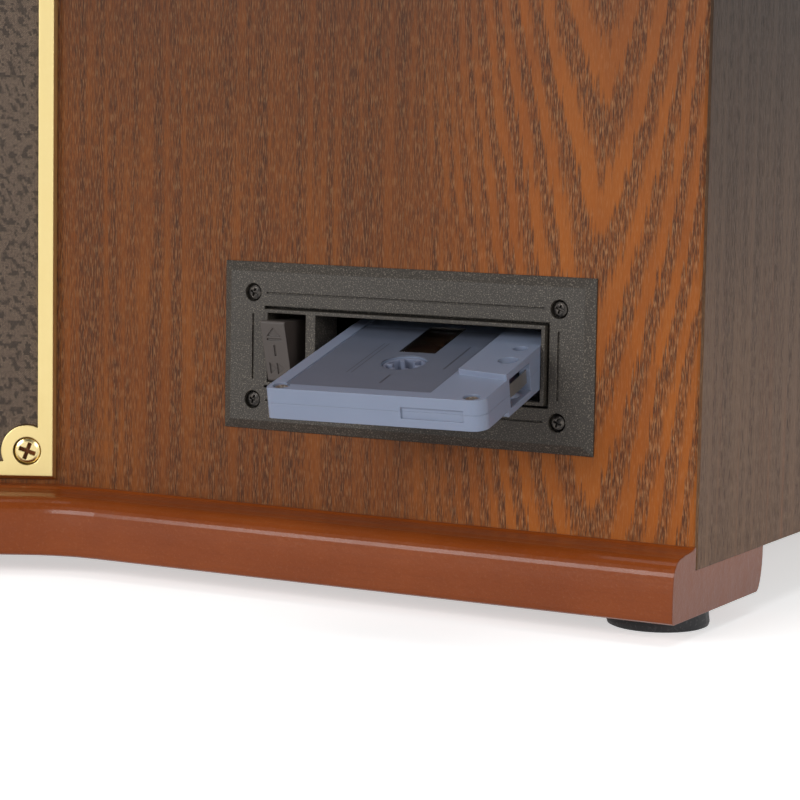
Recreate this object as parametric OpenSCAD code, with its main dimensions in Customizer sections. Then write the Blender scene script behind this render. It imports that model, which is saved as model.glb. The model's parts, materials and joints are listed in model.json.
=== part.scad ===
/* [Cabinet] */
// width of each flat wing beside the bowed middle
wing_w = 211.7; // [180:0.1:240]
// half the width of the bowed middle section
bow_half = 97; // [80:1:120]
// angle the bow makes with a wing where they meet
bow_angle = 30; // [15:1:40]
// depth from the wing face to the rear face
cab_depth = 330; // [300:1:380]
// thickness of the wooden boards
board_t = 12; // [9:0.5:18]
// height of the top of the case walls above the table
body_top = 266; // [240:1:300]
// edge break along the upright front corners
corner_cut = 1.2; // [0.4:0.1:3]
// clearance between a loose insert and the boards round it
insert_gap = 0.4; // [0.2:0.05:1]

/* [Feet and plinth] */
// height of the rubber feet
foot_h = 6; // [4:0.5:12]
// diameter of the rubber feet
foot_d = 29; // [20:0.5:36]
// distance of a foot centre from the side face
foot_in = 17; // [15:0.5:30]
// height of the moulded plinth
plinth_h = 19.3; // [14:0.1:30]
// how far the underside of the case is above the plinth's underside
case_lift = 12.9; // [8:0.1:18]
// how far the plinth stands in front of the wings
plinth_out = 15.5; // [8:0.5:25]
// depth of the plinth rail under the case
plinth_under = 33.5; // [20:0.5:45]
// depth of the bracket return at each end, behind the wing face
bracket_d = 51; // [40:1:70]
// width of the bracket return
bracket_w = 19; // [12:1:30]
// radius of the plinth's hollow sweep from wing to bow
cove_r = 43; // [30:1:60]
// how far outside the bow the sweep starts
cove_dx = 23.5; // [10:0.5:40]

/* [Speaker grille] */
// height of the bottom edge of the gilt frame
grille_z0 = 26.8; // [26:0.1:40]
// height of the top edge of the gilt frame
grille_z1 = 194; // [150:1:200]
// width of the gilt strip
strip_w = 5.5; // [4:0.1:9]
// how far the gilt strip stands out
strip_out = 2; // [1:0.1:4]
// radius of the corner bosses
boss_r = 8; // [6:0.1:10]
// diameter of the boss screw heads
boss_screw_d = 8.5; // [6:0.1:10]
// screw centre from each outer edge of the frame
boss_in = 8.8; // [7:0.1:12]
// diameter of the loudspeaker openings
driver_d = 68; // [50:1:76]

/* [Dial and knobs] */
// height of the dial centre
dial_z = 240; // [230:1:250]
// height of the dial frame
dial_h = 32; // [24:1:40]
// half angle the dial window spans on the bow
dial_a = 25; // [18:0.5:27]
// height of the knob centres
knob_z = 209; // [198:1:214]
// knob diameter
knob_d = 23; // [16:0.5:30]
// knob length
knob_l = 15; // [10:0.5:22]
// angle between neighbouring knobs round the bow
knob_a = 18.5; // [12:0.5:24]
// knob shaft diameter
shaft_d = 6; // [4:0.1:8]
// radial running clearance of the shafts
run_gap = 0.05; // [0.02:0.01:0.1]

/* [Cassette bay] */
// distance of the bay centre from the side face
bay_in = 91.2; // [80:0.1:110]
// height of the bay centre
bay_z = 72.4; // [60:0.1:90]
// surround width
bezel_w = 120; // [110:0.5:130]
// surround height
bezel_h = 49.4; // [44:0.1:60]
// width of the surround's sloping edge
bezel_bevel = 2.8; // [1:0.1:5]
// how far the surround stands out
bezel_out = 2.25; // [1:0.05:4]
// left edge of the opening from the bay centre
mouth_l = 45.6; // [40:0.1:50]
// right edge of the opening from the bay centre
mouth_r = 46.7; // [40:0.1:50]
// height of the opening
mouth_h = 24; // [20:0.1:30]
// distance from the edge of the opening to the inside of its rim
mouth_step = 1.85; // [1.2:0.05:3]
// width of the gap round the rim
rim_gap = 0.8; // [0.4:0.05:1.1]
// how far the rim stands in front of the surround
rim_out = 1.4; // [0.4:0.1:3]
// left face of the divider from the bay centre
divider_l = 30.8; // [28:0.1:34]
// width of the divider
divider_w = 3.2; // [2:0.1:5]
// spacing of the surround screws across
bezel_sx = 99; // [90:0.5:108]
// spacing of the surround screws up
bezel_sz = 31.6; // [28:0.1:38]
// diameter of the surround screw recesses
bezel_sd = 5.4; // [4:0.1:7]
// width of the button
button_w = 8.1; // [6:0.1:10]
// depth of the button's travel
button_travel = 3.5; // [2:0.1:5]

/* [Cassette] */
// short side of the cassette
cas_w = 63.8; // [63:0.1:64.4]
// long side of the cassette
cas_l = 100.4; // [100:0.1:101]
// thickness of the thin part
cas_t = 8.7; // [8:0.1:9]
// thickness of the thick part by the open edge
cas_thick = 12; // [11:0.1:12.4]
// length standing out of the slot
cas_out = 50.8; // [0:0.1:60]
// droop of the outer end
cas_tilt = 12.85; // [0:0.05:15]
// turn of the cassette in the slot
cas_yaw = 5.3; // [0:0.1:8]
// cassette centre line to the right of the bay centre
cas_x = 12.3; // [5:0.1:14]
// cassette top above the bay centre at the wing face
cas_z = 5.4; // [3:0.1:7]
// radius of the larger tape pack
pack_ra = 21.5; // [12:0.1:24]
// radius of the smaller tape pack
pack_rb = 15.5; // [12:0.1:18]
// radius of the hub holes in the shell
hub_hole_r = 6.4; // [5.4:0.1:7]
// depth of the sunk area round the hubs
label_depth = 0.3; // [0.1:0.05:0.5]
// clearance of the pieces inside the shell
cas_gap = 0.3; // [0.2:0.05:0.5]

/* [Disc drawer] */
// distance of the drawer unit's centre from the middle of the case
cd_x = 205; // [190:1:220]
// width of the surround on either side of the drawer
cd_side = 11; // [10:0.5:16]
// width of the drawer front
drawer_w = 130; // [129:1:150]
// height of the drawer front
drawer_h = 15; // [12:0.5:20]
// depth of the tray
tray_l = 140; // [132:1:160]
// clearance round the drawer
drawer_gap = 0.5; // [0.3:0.05:1]

/* [Turntable] */
// height of the deck surface
deck_z = 256; // [248:1:260]
// thickness of the deck board
deck_t = 9; // [6:0.5:12]
// platter radius
platter_r = 110; // [100:1:120]
// platter centre, left of the middle
platter_x = 62; // [50:1:80]
// platter centre, behind the wing face
platter_y = 165; // [155:1:175]
// radius of the centre pin
pin_r = 3.55; // [3.5:0.01:3.6]
// radius of the drive ring under the platter
ring_r = 50; // [40:1:60]
// radius of the motor pulley
pulley_r = 7; // [4:0.5:10]
// distance of the motor from the centre pin
motor_d = 78; // [70:1:88]
// arm pivot, right of the middle
pivot_x = 112; // [105:1:140]
// arm pivot, in front of the rear face
pivot_back = 76; // [70:1:90]
// length from arm pivot to stylus
arm_l = 202; // [180:1:240]
// height of the arm above the deck
arm_h = 30; // [24:1:36]

/* [Lid] */
// outside height of the lid
lid_h = 60; // [50:1:80]
// gap between lid and case
lid_gap = 0.8; // [0.3:0.1:2]
// thickness of the lid's top
lid_t = 10; // [6:0.5:14]
// width of a hinge leaf
hinge_w = 48; // [30:1:70]
// distance of the hinges from the middle
hinge_x = 205; // [150:1:240]
// radius of the hinge barrel
barrel_r = 3; // [2:0.1:4]

/* [Inside] */
// width of the circuit board
amp_w = 220; // [160:1:240]
// depth of the circuit board
amp_d = 90; // [78:1:110]
// height of the heat sink and the capacitors on the board
amp_h = 30; // [20:1:60]
// height of the board's posts
post_h = 8; // [5:0.5:15]
// distance of a board post from the board's edges
post_in = 8; // [5:0.5:15]
// depth of the cassette mechanism's box
deck_box_d = 120; // [115:1:135]
// width of the cassette mechanism's box
deck_box_w = 104; // [100:1:105]
// depth of the disc mechanism's box
cd_box_d = 150; // [148:1:170]
// thickness of the folded sheet of both boxes
sheet_t = 1.2; // [0.8:0.1:2]
// thickness of the base board
base_t = 10; // [6:0.5:14]
// thickness of the loudspeaker baffle
baffle_t = 9; // [6:0.5:12]
// distance of a loudspeaker's centre from the middle
driver_x = 45; // [44:0.5:50]
// height of the loudspeakers' centres
driver_z = 105; // [90:1:130]

/* [Back] */
// how far the sockets stand out of the back
jack_out = 8; // [4:0.5:12]
// how far the cassette reaches in front of the wing face
front_reach = 52.1; // [0:0.05:70]

/* [Hidden] */
hw = bow_half + wing_w;
yw = -(cab_depth + jack_out - front_reach) / 2;
yr = yw + cab_depth;
bow_r = bow_half / sin(bow_angle);
by = yw + bow_r * cos(bow_angle);
z_pl = foot_h;
z_case = foot_h + case_lift;
bow_reach = bow_r * (1 - cos(bow_angle)) + 10;
pl_r = (bow_half + cove_dx - cove_r * sin(bow_angle)) / sin(bow_angle);
pl_y = yw - plinth_out - cove_r * (1 - cos(bow_angle)) + pl_r * cos(bow_angle);
joint_gap = 0.02;
plinth_joint = joint_gap / pl_r * 180 / PI;
bay_x = hw - bay_in;
in_l = mouth_l - mouth_step;
in_r = mouth_r - mouth_step;
in_h = mouth_h - 2 * mouth_step;
pk_x = -cas_w / 2 + 29.1;
hub_a_y = -cas_out + (cas_l - 42.5) / 2;
hub_b_y = hub_a_y + 42.5;
raise = (cas_thick - cas_t) / 2;
lid_z = body_top + lid_gap;
cd_w = drawer_w + 2 * cd_side;
drawer_z = bay_z - 12.5;
axis_y = yr + barrel_r + 0.3;
axis_z = body_top + lid_gap / 2;
spin_x = -platter_x;
spin_y = yw + platter_y;
piv_x = pivot_x;
piv_y = yr - pivot_back;
arm_z = deck_z + arm_h;
platter_z = deck_z + 2.5;

// shared helpers

// a slab with the plan of the case, drawn in by an inset all round
module plan_slab(inset, z0, z1) {
    translate([-(hw - inset), yw + inset, z0])
        cube([2 * (hw - inset), cab_depth - 2 * inset, z1 - z0]);
    intersection() {
        translate([0, by, z0]) cylinder(r = bow_r - inset, h = z1 - z0, $fn = 180);
        translate([-bow_half - 4, yw - bow_reach, z0])
            cube([2 * bow_half + 8, bow_reach + inset + 2, z1 - z0]);
    }
}

// a ring section swept round the bow between two angles
module bow_sweep(a0, a1) {
    translate([0, by, 0]) rotate([0, 0, a0 - 90])
        rotate_extrude(angle = a1 - a0, $fn = 180) children();
}

// places children on the bow, facing outwards along -y
module on_bow(a, z, r) {
    translate([0, by, z]) rotate([0, 0, a]) translate([0, -r, 0]) children();
}

// places children on the right wing at the cassette bay
module at_bay() {
    translate([bay_x, yw, bay_z]) children();
}

// places children in the cassette's own tilted frame
module at_cassette() {
    at_bay() translate([cas_x, 0, cas_z]) rotate([cas_tilt, 0, cas_yaw]) children();
}

// a rectangular plate lying against the front with sloping edges
module bevel_plate(w, h, out, bevel) {
    intersection() {
        translate([0, 0, -h / 2]) linear_extrude(height = h)
            polygon([[-w / 2, 0], [-w / 2, -0.5], [-w / 2 + bevel, -out],
                [w / 2 - bevel, -out], [w / 2, -0.5], [w / 2, 0]]);
        translate([-w / 2, 0, 0]) rotate([90, 0, 90]) linear_extrude(height = w)
            polygon([[0, -h / 2], [-0.5, -h / 2], [-out, -h / 2 + bevel],
                [-out, h / 2 - bevel], [-0.5, h / 2], [0, h / 2]]);
    }
}

// cylinder pointing along -y from the plane y = 0
module peg(r, l) {
    rotate([90, 0, 0]) cylinder(r = r, h = l, $fn = 48);
}

// cross recess for a screw whose head lies at y = 0 facing -y
module cross_cut(w, depth) {
    for (a = [0, 90]) rotate([0, a + 20, 0])
        translate([-w / 2, -1, -w / 9]) cube([w, depth + 1, w / 4.5]);
}

// countersunk screw, head face at y = 0, shank along +y
module screw(d, l) {
    difference() {
        rotate([-90, 0, 0]) rotate_extrude($fn = 48)
            polygon([[0, 0], [d * 0.34, 0], [d * 0.46, d * 0.05], [d / 2, d * 0.13],
                [d / 2, d * 0.17], [d * 0.26, d * 0.42], [d * 0.24, l - 1], [0.01, l], [0, l]]);
        cross_cut(d * 0.62, d * 0.2);
    }
}

// rectangle with four rounded corners of two different radii, left and right
module card(w, l, rl, rr) {
    difference() {
        square([w, l]);
        square([rl, rl]);
        translate([0, l - rl]) square([rl, rl]);
        translate([w - rr, 0]) square([rr, rr]);
        translate([w - rr, l - rr]) square([rr, rr]);
    }
    translate([rl, rl]) circle(r = rl, $fn = 32);
    translate([rl, l - rl]) circle(r = rl, $fn = 32);
    translate([w - rr, rr]) circle(r = rr, $fn = 32);
    translate([w - rr, l - rr]) circle(r = rr, $fn = 32);
}

// cabinet

// triangle removed from the end of a board so two boards meet in a mitre
module mitre_wedge(s) {
    translate([0, 0, z_case - 1]) linear_extrude(height = body_top)
        polygon([[s * hw, yw], [s * (hw + 1), yw], [s * (hw + 1), yw + board_t + 1],
            [s * (hw - board_t - 1), yw + board_t + 1]]);
}

// edge break on the upright front corners
module corner_breaks() {
    for (s = [-1, 1]) translate([0, 0, z_case - 1]) linear_extrude(height = body_top)
        polygon([[s * (hw + 1), yw - 1], [s * (hw - corner_cut), yw - 1],
            [s * (hw - corner_cut), yw], [s * hw, yw + corner_cut], [s * (hw + 1), yw + corner_cut]]);
}

module front_board() {
    color([0.55, 0.30, 0.16]) difference() {
        intersection() {
            plan_slab(0, z_case, body_top);
            translate([-hw, yw - bow_reach, z_case]) cube([2 * hw, bow_reach + board_t, body_top]);
        }
        plan_slab(board_t, z_case - 1, body_top + 1);
        mitre_wedge(1);
        mitre_wedge(-1);
        corner_breaks();
        // opening behind the cloth
        bow_sweep(-24.5, 24.5) translate([bow_r - 20, grille_z0 + 10])
            square([30, grille_z1 - grille_z0 - 20]);
        // opening for the dial
        bow_sweep(-dial_a, dial_a) translate([bow_r - 20, dial_z - dial_h / 2 + 4])
            square([30, dial_h - 8]);
        // holes for the control bushes
        for (i = [-1, 0, 1]) on_bow(i * knob_a, knob_z, bow_r + 5)
            rotate([-90, 0, 0]) cylinder(d = shaft_d + 4, h = 30, $fn = 48);
        // cut-out for the cassette mechanism
        at_bay() translate([-deck_box_w / 2 - 1, -1, -17.5]) cube([deck_box_w + 2, board_t + 2, 35]);
        // cut-out for the drawer unit
        translate([-cd_x - cd_w / 2 + 5, yw - 1, drawer_z - drawer_h / 2 - 2])
            cube([cd_w - 10, board_t + 2, bay_z + 19 - drawer_z + drawer_h / 2 + 2]);
    }
}

module side_board(s) {
    difference() {
        translate([0, 0, z_case]) linear_extrude(height = body_top - z_case)
            polygon([[s * hw, yw], [s * (hw - board_t), yw + board_t],
                [s * (hw - board_t), yr], [s * hw, yr]]);
        corner_breaks();
    }
}

module side_boards() {
    color([0.52, 0.33, 0.22]) {
        side_board(1);
        side_board(-1);
    }
}

module base_board() {
    color([0.35, 0.22, 0.14]) {
        intersection() {
            plan_slab(board_t, z_case, z_case + base_t);
            translate([-hw, yw - bow_reach, 0]) cube([2 * hw, cab_depth + bow_reach - 6, 100]);
        }
        // bearer that carries the rear feet
        translate([-hw + 14, yr - 42, z_pl]) cube([2 * hw - 28, 30, z_case - z_pl]);
    }
}

module rear_rail() {
    color([0.40, 0.25, 0.15])
        translate([-(hw - board_t), yr - board_t, body_top - 34])
            cube([2 * (hw - board_t), board_t, 34]);
}

module rear_panel() {
    color([0.12, 0.10, 0.09]) difference() {
        translate([-(hw - board_t), yr - 5, z_case])
            cube([2 * (hw - board_t), 4, body_top - 34 - z_case]);
        // rows of ventilation slots
        for (sx = [-1, 1]) for (i = [0:8]) for (k = [0:1])
            translate([sx * 190 - 2 + (i - 4) * 11, yr - 6, 150 + k * 36]) cube([4, 6, 26]);
        // sockets
        for (i = [0:3]) translate([-60 + i * 18, yr, 60]) rotate([90, 0, 0])
            cylinder(d = 9.4, h = 12, center = true, $fn = 48);
        // mains inlet and switch
        translate([160, yr - 6, 50]) cube([27.4, 6, 20]);
        translate([210, yr - 6, 51]) cube([13.4, 6, 19]);
        // screw holes
        for (x = [-280, -100, 100, 280]) for (z = [34, 222]) translate([x, yr, z])
            rotate([90, 0, 0]) cylinder(d = 3.4, h = 14, center = true, $fn = 24);
    }
}

// moulded section of the plinth: x is the distance in front of the wing face
function ogee(n) = concat(
    [for (i = [0:n]) let (t = i / n) [plinth_out - 0.3 * t * t, 7.2 + 4.8 * t]],
    [for (i = [1:n]) let (a = 90 * i / n)
        [plinth_out - 0.3 - 5.6 * (1 - cos(a)), 12 + 5.7 * sin(a)]]);

module plinth_section(back) {
    polygon(concat([[-back, z_pl], [plinth_out - 1.2, z_pl], [plinth_out - 0.3, z_pl + 0.5],
        [plinth_out, z_pl + 1.5]],
        [for (p = ogee(8)) [p[0], p[1] + z_pl]],
        [[7.6, z_pl + 18.1], [4.5, z_pl + 18.3], [2, z_pl + 18.7], [0.8, z_pl + plinth_h],
        [-10, z_pl + plinth_h], [-10, z_case], [-back, z_case]]));
}

module bracket_section() {
    polygon(concat([[-bracket_d + 4.4, z_pl], [plinth_out - 1.2, z_pl], [plinth_out - 0.3, z_pl + 0.5],
        [plinth_out, z_pl + 1.5]],
        [for (p = ogee(8)) [p[0], p[1] + z_pl]],
        [[7.6, z_pl + 18.1], [4.5, z_pl + 18.3], [2, z_pl + 18.7], [0.8, z_pl + plinth_h],
        [-10, z_pl + plinth_h], [-10, z_case], [-bracket_d, z_case]],
        [for (i = [1:7]) let (a = 90 * i / 8)
            [-bracket_d + 4.4 * (1 - cos(a)), z_case - case_lift * sin(a)]]));
}

module plinth() {
    color([0.62, 0.28, 0.10]) difference() {
        union() {
            for (s = [0, 1]) mirror([s, 0, 0]) {
                // straight run under the wing
                translate([bow_half + cove_dx, yw, 0]) rotate([90, 0, 90])
                    linear_extrude(height = wing_w - cove_dx - bracket_w)
                        mirror([1, 0]) plinth_section(plinth_under);
                // bracket return at the end
                translate([hw - bracket_w, yw, 0]) rotate([90, 0, 90])
                    linear_extrude(height = bracket_w) mirror([1, 0]) bracket_section();
                // hollow sweep between wing and bow
                translate([bow_half + cove_dx, yw - plinth_out - cove_r, 0]) rotate([0, 0, 90])
                    rotate_extrude(angle = bow_angle, $fn = 180)
                        translate([cove_r + plinth_out, 0]) mirror([1, 0]) plinth_section(plinth_under);
            }
            // bowed run, with a hairline joint at each end
            translate([0, pl_y, 0]) rotate([0, 0, plinth_joint - 90 - bow_angle])
                rotate_extrude(angle = 2 * (bow_angle - plinth_joint), $fn = 180)
                    translate([pl_r - plinth_out, 0]) plinth_section(plinth_under);
        }
        plan_slab(0, z_case, body_top);
    }
}

module foot() {
    difference() {
        rotate_extrude($fn = 64)
            polygon([[0, 0], [foot_d / 2 - 1.2, 0], [foot_d / 2 - 0.3, 0.4], [foot_d / 2, 1.4],
                [foot_d / 2 - 0.4, foot_h], [0, foot_h]]);
        translate([0, 0, -1]) cylinder(d = 10, h = 3.5, $fn = 48);
    }
}

module feet() {
    color([0.06, 0.06, 0.06]) for (s = [-1, 1]) {
        translate([s * (hw - foot_in), yw + 15, 0]) foot();
        translate([s * (hw - 34), yr - 27, 0]) foot();
    }
}

// speaker grille

grille_a = bow_angle - 0.25;
strip_a = strip_w / bow_r * 180 / PI;
boss_a = grille_a - boss_in / bow_r * 180 / PI;

// wedge cut from the outer edge of an upright strip, drawn in plan
module upright_bevel() {
    k = 180 / PI / bow_r;
    polygon([for (p = [[-1.5, 0.6], [0, 0.6], [0, 0.7], [1.1, strip_out], [1.1, strip_out + 1],
        [-1.5, strip_out + 1]])
        let (a = grille_a - p[0] * k, r = bow_r + p[1]) [r * sin(a), by - r * cos(a)]]);
}

// wedge cut from the bottom edge, as a section with x along the radius
module level_bevel() {
    polygon([[0.7, -1], [0.7, 0], [strip_out, 1.1], [strip_out + 1, 1.1], [strip_out + 1, -1]]);
}

boss_z = [grille_z0 + boss_in, grille_z1 - boss_in];

module grille_frame() {
    color([0.80, 0.68, 0.40]) difference() {
        bow_sweep(-grille_a, grille_a) translate([bow_r, grille_z0])
            square([strip_out, grille_z1 - grille_z0]);
        // opening for the cloth, which leaves a rounded boss in each corner
        difference() {
            bow_sweep(strip_a - grille_a, grille_a - strip_a) translate([bow_r - 1, grille_z0 + strip_w])
                square([strip_out + 2, grille_z1 - grille_z0 - 2 * strip_w]);
            for (s = [-1, 1]) for (z = boss_z) on_bow(s * boss_a, z, bow_r - 6) peg(boss_r, 16);
        }
        // bevels
        bow_sweep(-35, 35) translate([bow_r, grille_z0]) level_bevel();
        bow_sweep(-35, 35) translate([bow_r, grille_z1]) mirror([0, 1]) level_bevel();
        for (s = [0, 1]) mirror([s, 0, 0]) translate([0, 0, grille_z0 - 1])
            linear_extrude(height = grille_z1 - grille_z0 + 2) upright_bevel();
        for (s = [-1, 1]) for (z = boss_z) on_bow(s * boss_a, z, bow_r - 3)
            peg(boss_screw_d / 2 + 0.1, 12);
    }
}

module grille_screws() {
    color([0.83, 0.70, 0.42]) intersection() {
        for (s = [-1, 1]) for (z = boss_z) on_bow(s * boss_a, z, bow_r + strip_out - 0.3)
            screw(boss_screw_d, 12);
        bow_sweep(-40, 40) translate([bow_r + 0.05, 0]) square([30, 300]);
    }
}

module grille_cloth() {
    color([0.34, 0.29, 0.26]) difference() {
        bow_sweep(strip_a - grille_a + 0.05, grille_a - strip_a - 0.05)
            translate([bow_r, grille_z0 + strip_w + 0.15])
                square([0.8, grille_z1 - grille_z0 - 2 * strip_w - 0.3]);
        for (s = [-1, 1]) for (z = boss_z) on_bow(s * boss_a, z, bow_r - 6) peg(boss_r + 0.15, 16);
    }
}

module baffle() {
    color([0.30, 0.22, 0.15]) difference() {
        translate([4 - bow_half, yw + board_t + 0.3, z_case + base_t + 0.5])
            cube([2 * bow_half - 8, baffle_t, grille_z1 - z_case - base_t]);
        for (s = [-1, 1]) translate([s * driver_x, yw, driver_z]) rotate([-90, 0, 0])
            cylinder(d = driver_d, h = 60, $fn = 96);
    }
}

module speaker_baskets() {
    color([0.16, 0.16, 0.17]) for (s = [-1, 1])
        translate([s * driver_x, yw + board_t + baffle_t + 0.4, driver_z]) rotate([-90, 0, 0])
            rotate_extrude($fn = 96)
                polygon([[driver_d / 2 + 1, 0], [driver_d / 2 + 8.5, 0], [driver_d / 2 + 8.5, 2],
                    [driver_d / 2 + 2, 2.5], [driver_d / 2 - 10, 24], [driver_d / 2 - 11.5, 24.5],
                    [driver_d / 2 - 11.5, 44], [0, 44], [0, 28], [driver_d / 2 - 16, 28],
                    [driver_d / 2 - 12, 22.5], [driver_d / 2 - 0.5, 1.2]]);
}

module speaker_cones() {
    color([0.10, 0.10, 0.10]) for (s = [-1, 1])
        translate([s * driver_x, yw + board_t + baffle_t + 0.4, driver_z]) rotate([-90, 0, 0])
            rotate_extrude($fn = 96)
                polygon([[driver_d / 2 - 1, 0], [driver_d / 2 - 3, -1.6], [driver_d / 2 - 6, 0.2],
                    [11, 15], [8, 13.6], [0, 12.2], [0, 13.4], [7, 15.2], [10, 17.5], [12, 17],
                    [driver_d / 2 - 5.6, 1.6], [driver_d / 2 - 3, -0.4], [driver_d / 2 - 1, 0.9]]);
}

// dial and knobs

module dial_frame() {
    color([0.78, 0.66, 0.38]) difference() {
        bow_sweep(-dial_a - 1.5, dial_a + 1.5)
            translate([bow_r, dial_z - dial_h / 2]) polygon([[0, 0], [0.6, 0], [2.4, 1.4],
                [2.4, dial_h - 1.4], [0.6, dial_h], [0, dial_h]]);
        bow_sweep(-dial_a + 0.2, dial_a - 0.2)
            translate([bow_r - 5, dial_z - dial_h / 2 + 4.3]) square([20, dial_h - 8.6]);
        for (s = [-1, 1]) for (z = [-1, 1]) on_bow(s * (dial_a + 0.75), dial_z + z * 12.5, bow_r + 4)
            rotate([-90, 0, 0]) cylinder(d = 1.6, h = 2.6, $fn = 24);
    }
}

module dial_lens() {
    color([0.85, 0.90, 0.92, 0.35])
        bow_sweep(-dial_a + 0.5, dial_a - 0.5)
            translate([bow_r - 2.6, dial_z - dial_h / 2 + 4.6]) square([2, dial_h - 9.2]);
}

module dial_scale() {
    color([0.88, 0.80, 0.58]) difference() {
        bow_sweep(-dial_a + 0.5, dial_a - 0.5)
            translate([bow_r - board_t + 0.5, dial_z - dial_h / 2 + 4.6]) square([1.5, dial_h - 9.2]);
        // printed rules and divisions, sunk a hair
        for (z = [-5, 0.4, 5.6]) bow_sweep(-20, 20)
            translate([bow_r - board_t + 1.8, dial_z + z]) square([1, 0.35]);
        for (i = [-10:10]) on_bow(i * 2, dial_z, bow_r - board_t + 2)
            translate([-0.15, -0.2, i % 5 == 0 ? 0.9 : 2.4]) cube([0.3, 0.5, i % 5 == 0 ? 4.4 : 2.9]);
    }
}

module dial_pointer() {
    color([0.75, 0.12, 0.08])
        on_bow(0, dial_z, bow_r - board_t + 4) {
            translate([-0.5, 0, -dial_h / 2 + 5.4]) cube([1, 0.8, dial_h - 10.8]);
            translate([-2.2, 0.6, dial_h / 2 - 7.6]) cube([4.4, 1, 2.2]);
        }
}

module knob(a) {
    on_bow(a, knob_z, bow_r) difference() {
        union() {
            rotate([90, 0, 0]) rotate_extrude($fn = 64)
                polygon([[0, 1], [knob_d / 2 + 1.4, 1], [knob_d / 2 + 1.4, 2.2], [knob_d / 2 + 0.2, 3.4],
                    [knob_d / 2, 4], [knob_d / 2 - 0.6, knob_l - 1.2], [knob_d / 2 - 1.6, knob_l],
                    [knob_d / 2 - 4, knob_l], [knob_d / 2 - 4.6, knob_l - 0.6], [0, knob_l - 0.6]]);
            rotate([-90, 0, 0]) translate([0, 0, -2]) cylinder(d = shaft_d, h = 22, $fn = 48);
        }
        // grip slots round the rim
        for (i = [0:23]) rotate([0, i * 15 + 7.5, 0])
            translate([knob_d / 2 - 1, -knob_l + 2.4, -0.5]) cube([4, knob_l - 7.2, 1]);
        // pointer line
        translate([-0.5, -knob_l - 0.4, knob_d / 2 - 6]) cube([1, 1.2, 5]);
    }
}

module volume_knob() { color([0.72, 0.60, 0.36]) knob(-knob_a); }
module tuning_knob() { color([0.72, 0.60, 0.36]) knob(0); }
module function_knob() { color([0.72, 0.60, 0.36]) knob(knob_a); }

module control_pots() {
    color([0.45, 0.46, 0.48]) for (i = [-1, 0, 1]) on_bow(i * knob_a, knob_z, bow_r) difference() {
        union() {
            rotate([-90, 0, 0]) translate([0, 0, 1]) cylinder(d = shaft_d + 3.6, h = board_t, $fn = 48);
            rotate([-90, 0, 0]) translate([0, 0, board_t + 0.6]) cylinder(r = 9, h = 9, $fn = 64);
            translate([-7, board_t + 3, -13]) cube([14, 5, 12]);
        }
        rotate([-90, 0, 0]) translate([0, 0, -1]) cylinder(d = shaft_d + 2 * run_gap, h = 21.4, $fn = 48);
    }
}

// cassette bay

module deck_bezel() {
    color([0.20, 0.18, 0.16]) at_bay() difference() {
        union() {
            difference() {
                union() {
                    bevel_plate(bezel_w, bezel_h, bezel_out, bezel_bevel);
                    // tunnel behind the opening
                    translate([-in_l - 3, 0, -in_h / 2 - 3]) cube([in_l + in_r + 6, 9, in_h + 6]);
                }
                translate([-mouth_l, -5, -mouth_h / 2]) cube([mouth_l + mouth_r, 5.6, mouth_h]);
            }
            // rim and divider, which leave a gap to the surround
            translate([-mouth_l + rim_gap, -bezel_out - rim_out, -mouth_h / 2 + rim_gap])
                cube([mouth_l + mouth_r - 2 * rim_gap, bezel_out + rim_out + 4, mouth_h - 2 * rim_gap]);
        }
        // the two mouths either side of the divider
        translate([-in_l, -10, -in_h / 2]) cube([in_l - divider_l, 30, in_h]);
        translate([divider_w - divider_l, -10, -in_h / 2])
            cube([divider_l - divider_w + in_r, 30, in_h]);
        // screw recesses
        for (sx = [-1, 1]) for (sz = [-1, 1]) translate([sx * bezel_sx / 2, -5, sz * bezel_sz / 2]) {
            rotate([-90, 0, 0]) cylinder(d = bezel_sd, h = 5 - 0.3, $fn = 48);
            rotate([-90, 0, 0]) cylinder(d = 2.8, h = 20, $fn = 32);
        }
        // engraved lines round the face
        for (sz = [-1, 1]) translate([-45, -bezel_out - 1, sz * 15.8 - 0.25]) cube([90, 1.5, 0.5]);
        for (sx = [-1, 1]) translate([sx * bezel_sx / 2 - 0.3, -bezel_out - 1, -9.6]) cube([0.6, 1.6, 19.2]);
    }
}

module bezel_screws() {
    color([0.09, 0.09, 0.09]) {
        for (sx = [-1, 1]) for (sz = [-1, 1])
            at_bay() translate([sx * bezel_sx / 2, -bezel_out + 0.35, sz * bezel_sz / 2]) small_screw();
        for (sx = [-1, 1]) for (sz = [-1, 1])
            translate([-cd_x + sx * (cd_w / 2 - 7), yw - bezel_out + 0.35, bay_z + sz * bezel_sz / 2])
                small_screw();
    }
}

// pan head screw with its head face at y = 0
module small_screw() {
    difference() {
        union() {
            rotate([-90, 0, 0]) rotate_extrude($fn = 48)
                polygon([[0, 0], [1.3, 0], [2.1, 0.35], [2.4, 0.9], [2.4, 1.5], [0, 1.5]]);
            rotate([-90, 0, 0]) cylinder(d = 2.6, h = 12, $fn = 32);
        }
        cross_cut(2.6, 0.9);
    }
}

// the button's sloping face runs from its top lip to its lower lip
button_top = [-(bezel_out + rim_out + button_travel + 1.25), 7.6];
button_low = [0.05 - bezel_out - rim_out, -9.4];
button_gap = 0.4;

// places children on the sloping face at a height, with -y pointing out of the face
module on_button(z) {
    slope = (button_low[0] - button_top[0]) / (button_top[1] - button_low[1]);
    translate([-in_l + button_gap + button_w / 2, button_top[0] + slope * (button_top[1] - z), z])
        rotate([atan(slope), 0, 0]) children();
}

// cutter for a sunk mark of the given plan
module sunk_mark(depth) {
    translate([0, depth, 0]) rotate([90, 0, 0]) linear_extrude(height = depth + 1) children();
}

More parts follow.
